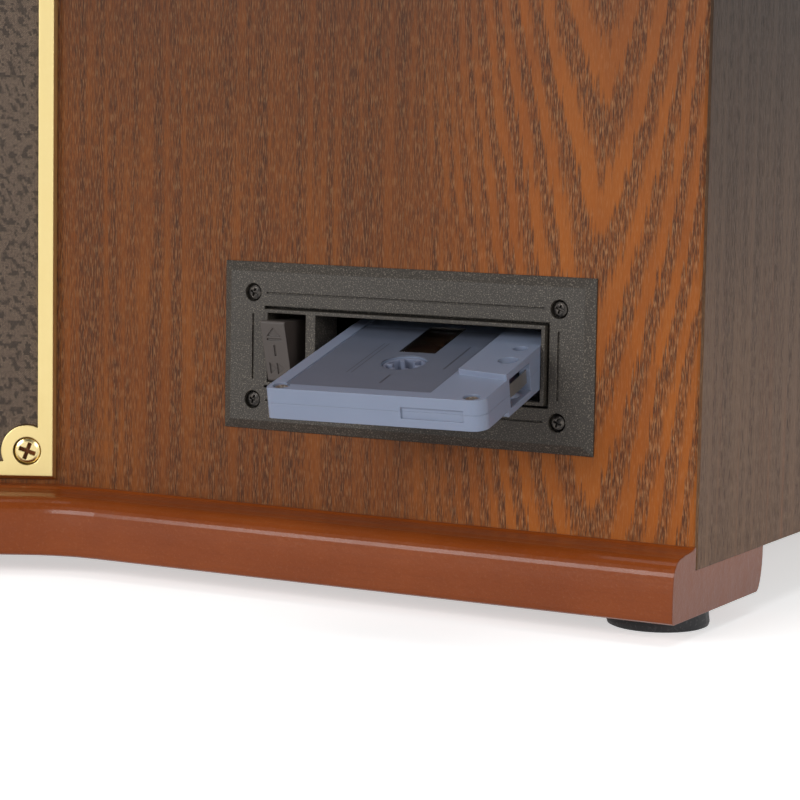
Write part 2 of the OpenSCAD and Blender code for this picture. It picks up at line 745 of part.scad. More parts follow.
module eject_button() {
    color([0.24, 0.22, 0.20]) at_bay() difference() {
        translate([-in_l + button_gap, 0, 0]) rotate([90, 0, 90])
            linear_extrude(height = button_w)
                polygon([button_top + [0.3, 0.6], button_top, button_low, button_low + [0.6, -0.6],
                    [20, -10], [20, 7.6]]);
        // plain marks: eject, a dash, wind on
        on_button(4.3) sunk_mark(0.4) {
            polygon([[-2.5, -0.7], [2.3, -0.7], [-0.1, 1.9]]);
            translate([-2.5, -2]) square([4.8, 0.7]);
        }
        on_button(-0.6) sunk_mark(0.4) translate([-0.6, -1.7]) square([0.65, 3.4]);
        on_button(-5.9) sunk_mark(0.4) for (x = [-2.8, -0.3])
            polygon([[x, -1.8], [x + 2.3, 0], [x, 1.8]]);
    }
}

module deck_chassis() {
    color([0.62, 0.63, 0.65]) {
        // folded steel box behind the wing
        at_bay() difference() {
            translate([-deck_box_w / 2, board_t + 3.5, -22]) cube([deck_box_w, deck_box_d, 62]);
            translate([sheet_t - deck_box_w / 2, board_t - 2, sheet_t - 22])
                cube([deck_box_w - 2 * sheet_t, deck_box_d + 5.5 - sheet_t, 70]);
            // openings in the back and sides
            translate([-30, deck_box_d - 20, -10]) cube([60, 60, 34]);
            for (s = [-1, 1]) translate([s * deck_box_w / 2 - 4, 40, -6]) cube([8, 60, 30]);
        }
        // tilted guide that carries the cassette
        intersection() {
            at_cassette() difference() {
                union() {
                    translate([-cas_w / 2 - 2.2, 18, -raise - cas_t - 2.4]) cube([cas_w + 4.4, 80, 1.4]);
                    for (s = [0, 1]) mirror([s, 0, 0])
                        translate([cas_w / 2 + 0.8, 18, -raise - cas_t - 2.4]) cube([1.4, 80, 8]);
                }
                for (y = [hub_a_y + 46, hub_b_y + 46]) translate([pk_x, y, -30])
                    cylinder(r = 6, h = 40, $fn = 48);
            }
            at_bay() translate([sheet_t - deck_box_w / 2, board_t - 2, -21])
                cube([deck_box_w - 2 * sheet_t, deck_box_d + 20, 70]);
        }
        // pins the reel discs turn on
        intersection() {
            at_cassette() for (y = [hub_a_y + 46, hub_b_y + 46]) translate([pk_x, y, -50])
                cylinder(r = 1.5, h = 50 - raise - cas_t - 2, $fn = 32);
            at_bay() translate([sheet_t - deck_box_w / 2, board_t - 2, -21.2])
                cube([deck_box_w - 2 * sheet_t, deck_box_d + 20, 70]);
        }
        // stays that hold the guide to the box floor
        at_bay() for (x = [-16, 40]) for (y = [28, 98])
            translate([x - 3, y, -21.2]) cube([6, 1.4, y * tan(cas_tilt) + 14.4]);
    }
}

module reel(y) {
    at_cassette() translate([pk_x, y + 46, -raise - cas_t]) difference() {
        union() {
            translate([0, 0, -5.6]) cylinder(r = 10, h = 2.4, $fn = 64);
            translate([0, 0, -4]) cylinder(r = 2.8, h = 3.2, $fn = 48);
            for (a = [0, 120, 240]) rotate([0, 0, a]) translate([0, -0.6, -4]) cube([4.2, 1.2, 2.8]);
        }
        translate([0, 0, -8]) cylinder(r = 1.5 + run_gap, h = 6.2, $fn = 32);
    }
}

module reel_a() { color([0.20, 0.20, 0.21]) reel(hub_a_y); }
module reel_b() { color([0.20, 0.20, 0.21]) reel(hub_b_y); }

// cassette

// outline of the shell lying flat, long side along y
module shell_plan(grow) {
    translate([-cas_w / 2 - grow, -cas_out - grow])
        card(cas_w + 2 * grow, cas_l + 2 * grow, 1.6, 4);
}

// the thicker wedge-shaped part beside the open edge
module thick_plan() {
    ym = -cas_out + cas_l / 2;
    polygon([[cas_w / 2, ym - 32.4], [cas_w / 2, ym + 32.4],
        [cas_w / 2 - 15, ym + 29.6], [cas_w / 2 - 15, ym - 29.6]]);
}

module shell_half() {
    ym = -cas_out + cas_l / 2;
    difference() {
        union() {
            translate([0, 0, -cas_t / 2]) linear_extrude(height = cas_t / 2) shell_plan(0);
            translate([0, 0, -cas_t / 2]) linear_extrude(height = cas_t / 2 + raise) thick_plan();
        }
        // room for the tape inside
        translate([pk_x - 26.5, ym - 46, -cas_t / 2 - 1]) cube([49, 92, cas_t / 2 - 0.4]);
        translate([pk_x - 26.5, ym - 28, -cas_t / 2 - 1]) cube([58, 56, cas_t / 2 - 0.4]);
        // hub holes
        for (y = [hub_a_y, hub_b_y]) translate([pk_x, y, -20]) cylinder(r = hub_hole_r, h = 40, $fn = 64);
        // sunk area round the hubs
        translate([4 - cas_w / 2, ym - cas_l / 2 + 4.4, -label_depth])
            cube([cas_w - 20.6, cas_l - 8.8, 1]);
        // window between the hubs
        translate([pk_x - 5.5, ym - 12, -20]) cube([11, 24, 40]);
        // drive and locating holes
        for (s = [-1, 1]) {
            translate([cas_w / 2 - 4.2, ym + s * 20.1, -20]) cylinder(r = 2.9, h = 40, $fn = 48);
            translate([cas_w / 2 - 4.6, ym + s * 9.3, -20]) cylinder(r = 2.1, h = 40, $fn = 48);
        }
        // openings along the edge where the heads enter
        translate([cas_w / 2 - 7, ym - 6, -cas_t / 2 - 1]) cube([10, 12, cas_t / 2 + 0.7]);
        for (s = [-1, 1]) translate([cas_w / 2 - 7.3, ym + s * 22.75 - 7.85, -cas_t / 2 - 1])
            cube([10, 15.7, cas_t / 2 + 0.7]);
        // shell screw recesses
        for (p = shell_screw_at) translate([p[0], p[1], -0.9]) cylinder(r = 2.4, h = 8, $fn = 48);
        for (p = shell_screw_at) translate([p[0], p[1], -12]) cylinder(r = 1.05, h = 18, $fn = 24);
    }
}

shell_screw_at = [for (x = [3.7 - cas_w / 2, cas_w / 2 - 4.3]) for (y = [3, cas_l - 3]) [x, y - cas_out]];

module cassette_top() {
    color([0.52, 0.58, 0.68]) at_cassette() difference() {
        shell_half();
        // long shallow bar in the front edge
        translate([8, -cas_out - 1, -cas_t / 2 - 1]) cube([18, 1.5, 2.2]);
    }
}

module cassette_bottom() {
    color([0.50, 0.56, 0.66]) at_cassette() difference() {
        translate([0, 0, -cas_t]) mirror([0, 0, 1]) shell_half();
        translate([8, -cas_out - 1, -cas_t / 2 - 2]) cube([18, 1.5, 3]);
    }
}

module cassette_window() {
    ym = -cas_out + cas_l / 2;
    color([0.80, 0.82, 0.85, 0.4]) at_cassette() for (z = [-0.9, -cas_t + 0.3])
        translate([pk_x - 5.4, ym - 11.9, z]) cube([10.8, 23.8, 0.6]);
}

module hub(y) {
    at_cassette() translate([pk_x, y, 0]) difference() {
        union() {
            translate([0, 0, -cas_t + 1.8]) cylinder(r = 10.8, h = cas_t - 3.6, $fn = 64);
            translate([0, 0, -cas_t + 1]) cylinder(r = hub_hole_r - cas_gap, h = cas_t - 2, $fn = 64);
        }
        translate([0, 0, -cas_t]) difference() {
            cylinder(r = hub_hole_r - cas_gap - 0.8, h = cas_t, $fn = 64);
            for (a = [0:60:300]) rotate([0, 0, a]) translate([3.4, -0.6, -1]) cube([3, 1.2, cas_t + 2]);
        }
    }
}

module hub_a() { color([0.86, 0.86, 0.84]) hub(hub_a_y); }
module hub_b() { color([0.86, 0.86, 0.84]) hub(hub_b_y); }

module pack(y, r) {
    at_cassette() translate([pk_x, y, -cas_t / 2 - 1.9]) difference() {
        cylinder(r = r, h = 3.8, $fn = 96);
        translate([0, 0, -1]) cylinder(r = 10.8, h = 8, $fn = 64);
    }
}

module pack_a() { color([0.28, 0.17, 0.10]) pack(hub_a_y, pack_ra); }
module pack_b() { color([0.28, 0.17, 0.10]) pack(hub_b_y, pack_rb); }

module cassette_screws() {
    color([0.75, 0.75, 0.72]) at_cassette() for (p = shell_screw_at) translate([p[0], p[1], -0.35])
        rotate([-90, 0, 0]) difference() {
            union() {
                rotate([-90, 0, 0]) rotate_extrude($fn = 32)
                    polygon([[0, 0], [1.5, 0], [2.1, 0.3], [2.1, 0.55], [0, 0.55]]);
                rotate([-90, 0, 0]) cylinder(r = 0.95, h = 7, $fn = 24);
            }
            cross_cut(2.4, 0.4);
        }
}

// disc drawer

module cd_bezel() {
    color([0.20, 0.18, 0.16]) translate([-cd_x, yw, bay_z]) difference() {
        bevel_plate(cd_w, bezel_h, bezel_out, bezel_bevel);
        // drawer slot
        translate([-drawer_w / 2 - drawer_gap, -5, drawer_z - bay_z - drawer_h / 2 - drawer_gap])
            cube([drawer_w + 2 * drawer_gap, 10, drawer_h + 2 * drawer_gap]);
        // display window and its rebate
        translate([-58, -5, 3]) cube([56, 10, 15]);
        // key holes
        for (x = [18, 44]) translate([x - 9, -5, 5]) cube([18, 10, 11]);
        for (sx = [-1, 1]) for (sz = [-1, 1])
            translate([sx * (cd_w / 2 - 7), -5, sz * bezel_sz / 2]) {
                rotate([-90, 0, 0]) cylinder(d = bezel_sd, h = 5 - 0.3, $fn = 48);
                rotate([-90, 0, 0]) cylinder(d = 2.8, h = 20, $fn = 32);
            }
    }
}

module cd_window() {
    color([0.05, 0.07, 0.08]) translate([-cd_x, yw, bay_z]) {
        translate([-57.6, -1.6, 3.4]) cube([55.2, 1.6, 14.2]);
        translate([-59.6, 0, 1.4]) cube([59.2, 1.5, 17.2]);
    }
}

module cd_drawer() {
    color([0.22, 0.20, 0.18]) translate([-cd_x, yw, drawer_z]) {
        difference() {
            union() {
                translate([-drawer_w / 2, -3.2, -drawer_h / 2]) cube([drawer_w, 4, drawer_h]);
                translate([-drawer_w / 2 + 3, 0, -drawer_h / 2 + 2]) cube([drawer_w - 6, tray_l, 7]);
            }
            // seats for the large and the small disc
            translate([0, 66, -drawer_h / 2 + 7]) cylinder(r = 60.7, h = 10, $fn = 128);
            translate([0, 66, -drawer_h / 2 + 5.5]) cylinder(r = 40.6, h = 10, $fn = 96);
            // room for the clamp and the pickup
            translate([-16, 48, -20]) cube([32, tray_l, 40]);
            translate([0, 48, -20]) cylinder(r = 16, h = 40, $fn = 64);
            // finger line under the front lip
            translate([-20, -4, -drawer_h / 2 - 0.1]) cube([40, 1.6, 1.3]);
        }
    }
}

module cd_chassis() {
    color([0.58, 0.59, 0.61]) translate([-cd_x, yw, drawer_z]) difference() {
        translate([-cd_w / 2 + 3, board_t + 0.5, -drawer_h / 2 - 2.5]) cube([cd_w - 6, cd_box_d, 42]);
        translate([-cd_w / 2 + 3 + sheet_t, board_t - 1, -drawer_h / 2 + 1.4])
            cube([cd_w - 6 - 2 * sheet_t, cd_box_d + 1.5 - sheet_t, 38.1 - sheet_t]);
        translate([-30, 50, 10]) cube([60, 70, 40]);
        for (x = [-50, 50]) translate([x, 100, -30]) cylinder(r = 12, h = 30, $fn = 48);
    }
}

module key(x) {
    translate([-cd_x + x, yw, bay_z + 10.5]) {
        translate([-8.6, -4, -5.1]) cube([17.2, 8, 10.2]);
        translate([-9.8, 0.6, -6.4]) cube([19.6, 2, 12.8]);
    }
}

module key_play() {
    color([0.24, 0.22, 0.20]) difference() {
        key(18);
        translate([-cd_x + 18, yw - 3.6, bay_z + 10.5]) rotate([90, 0, 0]) linear_extrude(height = 2)
            polygon([[-2, -2.4], [2.4, 0], [-2, 2.4]]);
    }
}

module key_stop() {
    color([0.24, 0.22, 0.20]) difference() {
        key(44);
        translate([-cd_x + 44 - 2, yw - 5.6, bay_z + 8.5]) cube([4, 2, 4]);
    }
}

// turntable

module top_deck() {
    color([0.16, 0.12, 0.10]) difference() {
        intersection() {
            plan_slab(board_t + insert_gap, deck_z - deck_t, deck_z);
            translate([-hw, yw - bow_reach, 0])
                cube([2 * hw, cab_depth + bow_reach - board_t - insert_gap, 2 * deck_z]);
        }
        translate([spin_x, spin_y, 0]) cylinder(r = pin_r + 1.5, h = 400, $fn = 48);
        translate([spin_x + motor_d, spin_y, 0]) cylinder(r = pulley_r + 2, h = 400, $fn = 48);
        translate([piv_x, piv_y, 0]) cylinder(r = 12, h = 400, $fn = 64);
        translate([250, yw + 80, 0]) cylinder(r = 6, h = 400, $fn = 48);
        // sunk ring the platter turns over
        translate([spin_x, spin_y, deck_z - 1.5]) cylinder(r = platter_r + 2, h = 5, $fn = 128);
    }
}

module platter() {
    color([0.70, 0.71, 0.72]) translate([spin_x, spin_y, platter_z]) difference() {
        union() {
            rotate_extrude($fn = 180) polygon([[pin_r + run_gap, -1], [14, -1], [16, 6],
                [ring_r - 3, 6], [ring_r - 3, 0], [ring_r, 0], [ring_r, 6], [platter_r - 5, 6],
                [platter_r - 5, 0], [platter_r, 0], [platter_r, 8], [platter_r - 1.2, 9.4],
                [platter_r - 4, 9.4], [platter_r - 4.6, 8.6], [pin_r + run_gap, 8.6]]);
        }
        for (i = [0:89]) rotate([0, 0, i * 4]) translate([platter_r + 0.35, 0, 3])
            cylinder(r = 0.8, h = 2.4, $fn = 12);
    }
}

module platter_mat() {
    color([0.12, 0.12, 0.12]) translate([spin_x, spin_y, platter_z + 8.6]) rotate_extrude($fn = 180)
        polygon([[pin_r + 1, 0], [platter_r - 5, 0], [platter_r - 5, 2], [platter_r - 12, 2.6],
            [54, 2.6], [52, 1.8], [pin_r + 1, 1.8]]);
}

module spindle() {
    color([0.78, 0.79, 0.80]) translate([spin_x, spin_y, 0]) {
        rotate_extrude($fn = 64) polygon([[0, deck_z - 24], [9, deck_z - 24], [9, deck_z - deck_t],
            [pin_r + 1.5, deck_z - deck_t], [pin_r + 1.5, deck_z - 0.5], [pin_r, deck_z],
            [pin_r, platter_z + 22], [pin_r - 0.8, platter_z + 25], [1, platter_z + 26.4],
            [0, platter_z + 26.4]]);
    }
}

module belt_loop(grow) {
    hull() {
        circle(r = ring_r + grow, $fn = 64);
        translate([motor_d, 0]) circle(r = pulley_r + grow, $fn = 32);
    }
}

module drive_belt() {
    color([0.10, 0.10, 0.10]) translate([spin_x, spin_y, platter_z + 1])
        linear_extrude(height = 4) difference() {
            belt_loop(1.3);
            belt_loop(0.4);
        }
}

module motor() {
    color([0.50, 0.51, 0.53]) translate([spin_x + motor_d, spin_y, 0]) difference() {
        union() {
            translate([0, 0, deck_z - deck_t - 32]) cylinder(r = 17, h = 31, $fn = 96);
            translate([-22, -8, deck_z - deck_t - 2]) cube([44, 16, 2]);
        }
        translate([0, 0, deck_z - deck_t - 20]) cylinder(r = 1.5 + run_gap, h = 30, $fn = 32);
    }
}

module motor_pulley() {
    color([0.80, 0.66, 0.35]) translate([spin_x + motor_d, spin_y, 0]) rotate_extrude($fn = 64)
        polygon([[0, deck_z - deck_t - 16], [1.5, deck_z - deck_t - 16], [1.5, deck_z],
            [pulley_r + 0.8, deck_z], [pulley_r + 0.8, platter_z + 0.4], [pulley_r, platter_z + 0.8],
            [pulley_r, platter_z + 5], [0, platter_z + 5]]);
}

module arm_base() {
    color([0.18, 0.18, 0.19]) {
        difference() {
            union() {
                translate([piv_x, piv_y, 0]) rotate_extrude($fn = 96)
                    polygon([[0, deck_z - 12], [11.6, deck_z - 12], [11.6, deck_z], [26, deck_z],
                        [26, deck_z + 6], [24, deck_z + 8], [14, deck_z + 8], [14, deck_z + 11],
                        [0, deck_z + 11]]);
                // plate that joins the base, the rest and the lever post
                translate([piv_x - 8, piv_y - 156, deck_z]) cube([56, 162, 2]);
            }
            translate([piv_x, piv_y, deck_z - 20]) cylinder(r = 6 + run_gap, h = 60, $fn = 64);
        }
        // ears that carry the cue lever
        difference() {
            for (x = [29.5, 41.5]) translate([piv_x + x, piv_y - 31, deck_z + 9]) cube([3, 12, 12]);
            translate([piv_x, piv_y - 25, deck_z + 16]) rotate([0, 90, 0])
                cylinder(r = 3 + run_gap, h = 80, $fn = 48);
        }
        // rest post screwed to the plate, and the outer stop beside it
        translate([piv_x - 6, piv_y - 152, deck_z + 2 + joint_gap]) cube([11.5, 8, arm_h - 6.6 - joint_gap]);
        translate([piv_x + 6, piv_y - 152, deck_z]) cube([4, 8, arm_h + 1.5]);
        // lever post beside the pivot
        translate([piv_x + 30, piv_y - 40, deck_z]) cube([14, 30, 10]);
    }
}

module arm_yoke() {
    color([0.70, 0.71, 0.72]) translate([piv_x, piv_y, 0]) {
        difference() {
            union() {
                translate([0, 0, deck_z - 11]) cylinder(r = 6, h = arm_h, $fn = 64);
                translate([0, 0, deck_z + 11.4]) cylinder(r = 13, h = 5, $fn = 96);
                for (s = [0, 1]) mirror([s, 0, 0])
                    translate([8.6, -7, deck_z + 16]) cube([3.4, 14, arm_h - 9]);
            }
            translate([-20, 0, arm_z]) rotate([0, 90, 0]) cylinder(r = 2 + run_gap, h = 40, $fn = 48);
        }
    }
}

module tonearm() {
    color([0.82, 0.83, 0.84]) translate([piv_x, piv_y, arm_z]) {
        // cross pin and bearing block
        translate([-13, 0, 0]) rotate([0, 90, 0]) cylinder(r = 2, h = 26, $fn = 48);
        translate([-7.6, -8, -5]) cube([15.2, 16, 10]);
        // tube, headshell and finger lift
        translate([0, 44, 0]) rotate([90, 0, 0]) cylinder(r = 4, h = arm_l + 34, $fn = 48);
        translate([-9, -arm_l - 10, -4]) cube([18, 34, 2.6]);
        translate([8.8, -arm_l + 1, -3.6]) cube([12, 4, 1.6]);
        // counterweight on the rear of the tube
        translate([0, 50, 0]) rotate([90, 0, 0]) difference() {
            cylinder(r = 12, h = 24, $fn = 96);
            translate([0, 0, -1]) cylinder(r = 4 + run_gap, h = 26, $fn = 48);
        }
        // cartridge and stylus, hung just below the headshell
        translate([-7, -arm_l - 6, -13]) cube([14, 26, 9 - run_gap]);
        translate([-1.2, -arm_l - 2, -14.6]) cube([2.4, 6, 3]);
    }
}

module cue_lever() {
    color([0.75, 0.76, 0.77]) translate([piv_x + 37, piv_y - 25, deck_z + 16]) {
        translate([-9, 0, 0]) rotate([0, 90, 0]) cylinder(r = 3, h = 18, $fn = 48);
        translate([-2, -34, -1.6]) cube([4, 34, 3.2]);
        translate([-3.4, -40, -2.4]) cube([6.8, 8, 4.8]);
    }
}

module speed_lever() {
    color([0.75, 0.76, 0.77]) translate([250, yw + 80, 0]) {
        translate([0, 0, deck_z - 14]) cylinder(r = 5, h = 22, $fn = 48);
        translate([0, 0, deck_z + 1]) cylinder(r = 12, h = 5, $fn = 64);
        translate([-3, -26, deck_z + 2]) cube([6, 22, 5]);
    }
}

// lid and hinges

// one sloping band of the lid's rounded edge, drawn in from i0 to i1 over a height h
module edge_band(i0, i1, z, h) {
    intersection() {
        translate([0, yr + 1, z]) rotate([90, 0, 0]) linear_extrude(height = cab_depth + 2)
            polygon([[-hw + i0, 0], [hw - i0, 0], [hw - i1, h], [-hw + i1, h]]);
        translate([-hw - 1, 0, z]) rotate([90, 0, 90]) linear_extrude(height = 2 * hw + 2)
            polygon([[yw + i0, 0], [yr - i0, 0], [yr - i1, h], [yw + i1, h]]);
    }
    intersection() {
        translate([0, by, z]) cylinder(r1 = bow_r - i0, r2 = bow_r - i1, h = h, $fn = 180);
        translate([-bow_half - 4, yw - bow_reach, z])
            cube([2 * bow_half + 8, bow_reach + i1 + 2, h]);
    }
}

module lid() {
    color([0.55, 0.30, 0.16]) difference() {
        union() {
            plan_slab(0, lid_z, lid_z + lid_h - 7);
            edge_band(0, 0.9, lid_z + lid_h - 7, 3);
            edge_band(0.9, 2.8, lid_z + lid_h - 4, 2.4);
            edge_band(2.8, 6, lid_z + lid_h - 1.6, 1.6);
            // core that ties the bands together
            plan_slab(7, lid_z + lid_h - 8, lid_z + lid_h);
        }
        plan_slab(board_t, lid_z - 1, lid_z + lid_h - lid_t);
        // flats for the hinge leaves
        for (s = [-1, 1]) translate([s * hinge_x - hinge_w / 2 - 0.5, yr - 1.2, lid_z - 1])
            cube([hinge_w + 1, 3, 21]);
    }
}

module hinge_screw_holes(z) {
    for (x = [-16, 0, 16]) translate([x, yr - 4, z]) rotate([-90, 0, 0]) cylinder(d = 3.2, h = 12, $fn = 24);
}

module hinge_fixed() {
    color([0.76, 0.62, 0.34]) for (s = [-1, 1]) translate([s * hinge_x, 0, 0]) difference() {
        union() {
            translate([-hinge_w / 2, yr, axis_z - 22]) cube([hinge_w, 1.2, 22 - barrel_r - 0.4]);
            for (k = [-1, 1]) {
                translate([k * hinge_w / 3 - hinge_w / 6, axis_y, axis_z]) rotate([0, 90, 0])
                    cylinder(r = barrel_r, h = hinge_w / 3, $fn = 48);
                translate([k * hinge_w / 3 - hinge_w / 6, yr, axis_z - barrel_r - 0.4])
                    cube([hinge_w / 3, 1.2, barrel_r]);
            }
            translate([-hinge_w / 2, axis_y, axis_z]) rotate([0, 90, 0])
                cylinder(r = 1.5, h = hinge_w, $fn = 32);
        }
        hinge_screw_holes(axis_z - 14);
    }
}

module hinge_lid() {
    color([0.76, 0.62, 0.34]) for (s = [-1, 1]) translate([s * hinge_x, 0, 0]) difference() {
        union() {
            translate([-hinge_w / 2, yr - 1.2, axis_z + barrel_r + 0.6]) cube([hinge_w, 1.2, 15]);
            translate([-hinge_w / 6 + 0.3, yr - 1.2, axis_z + 0.8]) cube([hinge_w / 3 - 0.6, 1.2, 15]);
            translate([-hinge_w / 6 + 0.3, yr - 1.2, axis_z + 0.8])
                cube([hinge_w / 3 - 0.6, barrel_r + 0.9, 1.4]);
            translate([-hinge_w / 6 + 0.3, axis_y, axis_z]) rotate([0, 90, 0])
                cylinder(r = barrel_r, h = hinge_w / 3 - 0.6, $fn = 48);
        }
        translate([-hinge_w, axis_y, axis_z]) rotate([0, 90, 0])
            cylinder(r = 1.5 + run_gap, h = 2 * hinge_w, $fn = 32);
        hinge_screw_holes(axis_z + 12);
    }
}

// inside and back

module amp_board() {
    color([0.10, 0.32, 0.18]) translate([20, yr - amp_d - 40, z_case + base_t]) {
        translate([0, 0, post_h]) cube([amp_w, amp_d, 1.6]);
        for (x = [post_in, amp_w - post_in]) for (y = [post_in, amp_d - post_in])
            translate([x, y, 0]) cylinder(r = 3, h = post_h + 0.4, $fn = 24);
        // transformer
        translate([20, 20, post_h + 1]) cube([54, 46, amp_h + 12]);
        // capacitors
        for (p = [[100, 25], [125, 25], [100, 55]]) translate([p[0], p[1], post_h + 1])
            cylinder(r = 9, h = amp_h, $fn = 48);
        // heat sink
        translate([amp_w - 70, 12, post_h + 1]) cube([50, 3, amp_h + 4]);
        for (i = [0:5]) translate([amp_w - 70, 20 + i * 6, post_h + 1]) cube([50, 1.4, amp_h]);
    }
}

module rca_sockets() {
    color([0.70, 0.62, 0.40]) for (i = [0:3]) translate([-60 + i * 18, yr - 1, 60])
        rotate([-90, 0, 0]) difference() {
            rotate_extrude($fn = 48) polygon([[0, -12], [4.5, -12], [4.5, 0], [6.5, 0], [6.5, 2.5],
                [4.2, 2.5], [4.2, jack_out + 1], [0, jack_out + 1]]);
            translate([0, 0, -2]) cylinder(r = 1.7, h = 20, $fn = 32);
        }
}

module mains_inlet() {
    color([0.08, 0.08, 0.08]) translate([160.2, yr - 20, 50.2]) difference() {
        union() {
            cube([27, 19, 19.6]);
            translate([-3, 19, -3]) cube([33, 2, 25.6]);
        }
        translate([3, 6, 3]) cube([21, 30, 13.6]);
    }
}

module power_switch() {
    color([0.12, 0.12, 0.12]) translate([216.7, yr - 1.5, 60.5]) rotate([90, 0, 90]) {
        translate([0, 0, -6.2]) linear_extrude(height = 12.4)
            polygon([[-4, -8.6], [1.6, -8.6], [3.4, -8.2], [1.2, 0], [3.2, 8.2], [1.6, 8.6], [-4, 8.6]]);
        // pins it rocks on
        translate([0, 0, -6.6]) cylinder(r = 1, h = 13.2, $fn = 32);
    }
}

front_board();
side_boards();
base_board();
rear_rail();
rear_panel();
plinth();
feet();
grille_frame();
grille_cloth();
grille_screws();
baffle();
speaker_baskets();
speaker_cones();
dial_frame();
dial_lens();
dial_scale();
dial_pointer();
volume_knob();
tuning_knob();
function_knob();
control_pots();
deck_bezel();
bezel_screws();
eject_button();
deck_chassis();
reel_a();
reel_b();
cassette_top();
cassette_bottom();
cassette_window();
hub_a();
hub_b();
pack_a();
pack_b();
cassette_screws();
cd_bezel();
cd_window();
cd_drawer();
cd_chassis();
key_play();
key_stop();
top_deck();
platter();
platter_mat();
spindle();
drive_belt();
motor();
motor_pulley();
arm_base();
arm_yoke();
tonearm();
cue_lever();
speed_lever();
lid();
hinge_fixed();
hinge_lid();
amp_board();
rca_sockets();
mains_inlet();
power_switch();
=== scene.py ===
import json
import math

import bmesh
import bpy
from mathutils import Matrix, Vector

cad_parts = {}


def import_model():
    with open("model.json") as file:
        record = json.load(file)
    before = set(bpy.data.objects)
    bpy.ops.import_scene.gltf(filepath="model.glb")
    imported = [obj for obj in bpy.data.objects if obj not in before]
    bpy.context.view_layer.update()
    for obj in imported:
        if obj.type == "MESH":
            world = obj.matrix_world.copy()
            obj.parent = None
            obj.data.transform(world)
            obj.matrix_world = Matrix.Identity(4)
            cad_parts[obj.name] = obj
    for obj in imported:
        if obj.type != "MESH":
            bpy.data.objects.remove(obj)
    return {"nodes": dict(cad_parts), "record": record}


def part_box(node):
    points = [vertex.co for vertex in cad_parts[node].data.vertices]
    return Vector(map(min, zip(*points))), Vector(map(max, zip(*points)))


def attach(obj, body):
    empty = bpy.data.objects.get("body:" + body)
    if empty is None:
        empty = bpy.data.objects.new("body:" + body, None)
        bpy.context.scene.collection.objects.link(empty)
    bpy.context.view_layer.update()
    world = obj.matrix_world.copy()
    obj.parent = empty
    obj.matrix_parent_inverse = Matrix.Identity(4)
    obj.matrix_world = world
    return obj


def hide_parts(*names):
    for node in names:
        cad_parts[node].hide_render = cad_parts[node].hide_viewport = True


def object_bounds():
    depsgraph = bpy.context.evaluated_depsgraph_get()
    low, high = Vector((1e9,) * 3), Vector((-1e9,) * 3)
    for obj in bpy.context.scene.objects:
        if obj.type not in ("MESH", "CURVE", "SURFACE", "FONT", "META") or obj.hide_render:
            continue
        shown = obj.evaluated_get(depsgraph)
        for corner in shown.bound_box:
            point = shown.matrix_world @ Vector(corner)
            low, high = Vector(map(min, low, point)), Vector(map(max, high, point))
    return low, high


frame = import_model()
cad_low, cad_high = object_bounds()

MM = 0.001

# How far the surround's raised rim stands in front of the wing
BEZEL_PROUD = 0.00365

# Places that the CAD frame gives
bezel_low, bezel_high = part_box("deck_bezel")
WING_Y = bezel_low.y + BEZEL_PROUD
BAY = Vector(((bezel_low.x + bezel_high.x) / 2, WING_Y, (bezel_low.z + bezel_high.z) / 2))

# The photograph's viewpoint, measured from the middle of the cassette bay
CAMERA_FROM_BAY = Vector((0.36793, -0.68140, 0.07231))
CAMERA_YAW = 0.4965
CAMERA_PITCH = 0.1096
CAMERA_ROLL = 0.0172
CAMERA_LENS = 122.3
CAMERA_SENSOR = 36.0

# The bowed front: half its width, half its angle, its radius and the centre that it turns round
BOW_HALF = 0.097
BOW_ANGLE = math.radians(30.0)
BOW_R = BOW_HALF / math.sin(BOW_ANGLE)
BOW_Y = WING_Y + BOW_R * math.cos(BOW_ANGLE)

# The gilt frame's strip, and its corner bosses: radius and distance in from the frame's outer edges
STRIP_W = 0.0055
BOSS_R = 0.0082
BOSS_IN = 0.0088

# Printed rules of the label, in the cassette's own millimetres: low and high x, front and back y
LABEL_RULES = [
    (-2.6, -2.0, -40.3, -32.8),
    (10.3, 10.8, -25.7, -5.3),
    (-14.2, -13.9, -33.0, -6.0),
    (-15.6, -15.3, -33.0, -6.0),
]

# The cassette: its own origin in the mouth, its turn and its tilt
CASSETTE_AT = BAY + Vector((0.0123, 0.0, 0.0054))
CASSETTE_TURN = math.radians(5.3)
CASSETTE_TILT = math.radians(12.85)
CASSETTE_OUT = 0.0508
CASSETTE_LENGTH = 0.1004

# Veneer flames on the right wing, in millimetres: axis, lowest point of the inner flame, and spacing
FLAME_AT = 277.0
FLAME_TIP = 138.9
FLAME_STEP = 36.7


def srgb(r, g, b):
    """A colour written as 0 to 255 display values, as the linear RGBA that shaders take."""
    parts = [c / 255 for c in (r, g, b)]
    return (*[c / 12.92 if c <= 0.04045 else ((c + 0.055) / 1.055) ** 2.4 for c in parts], 1.0)


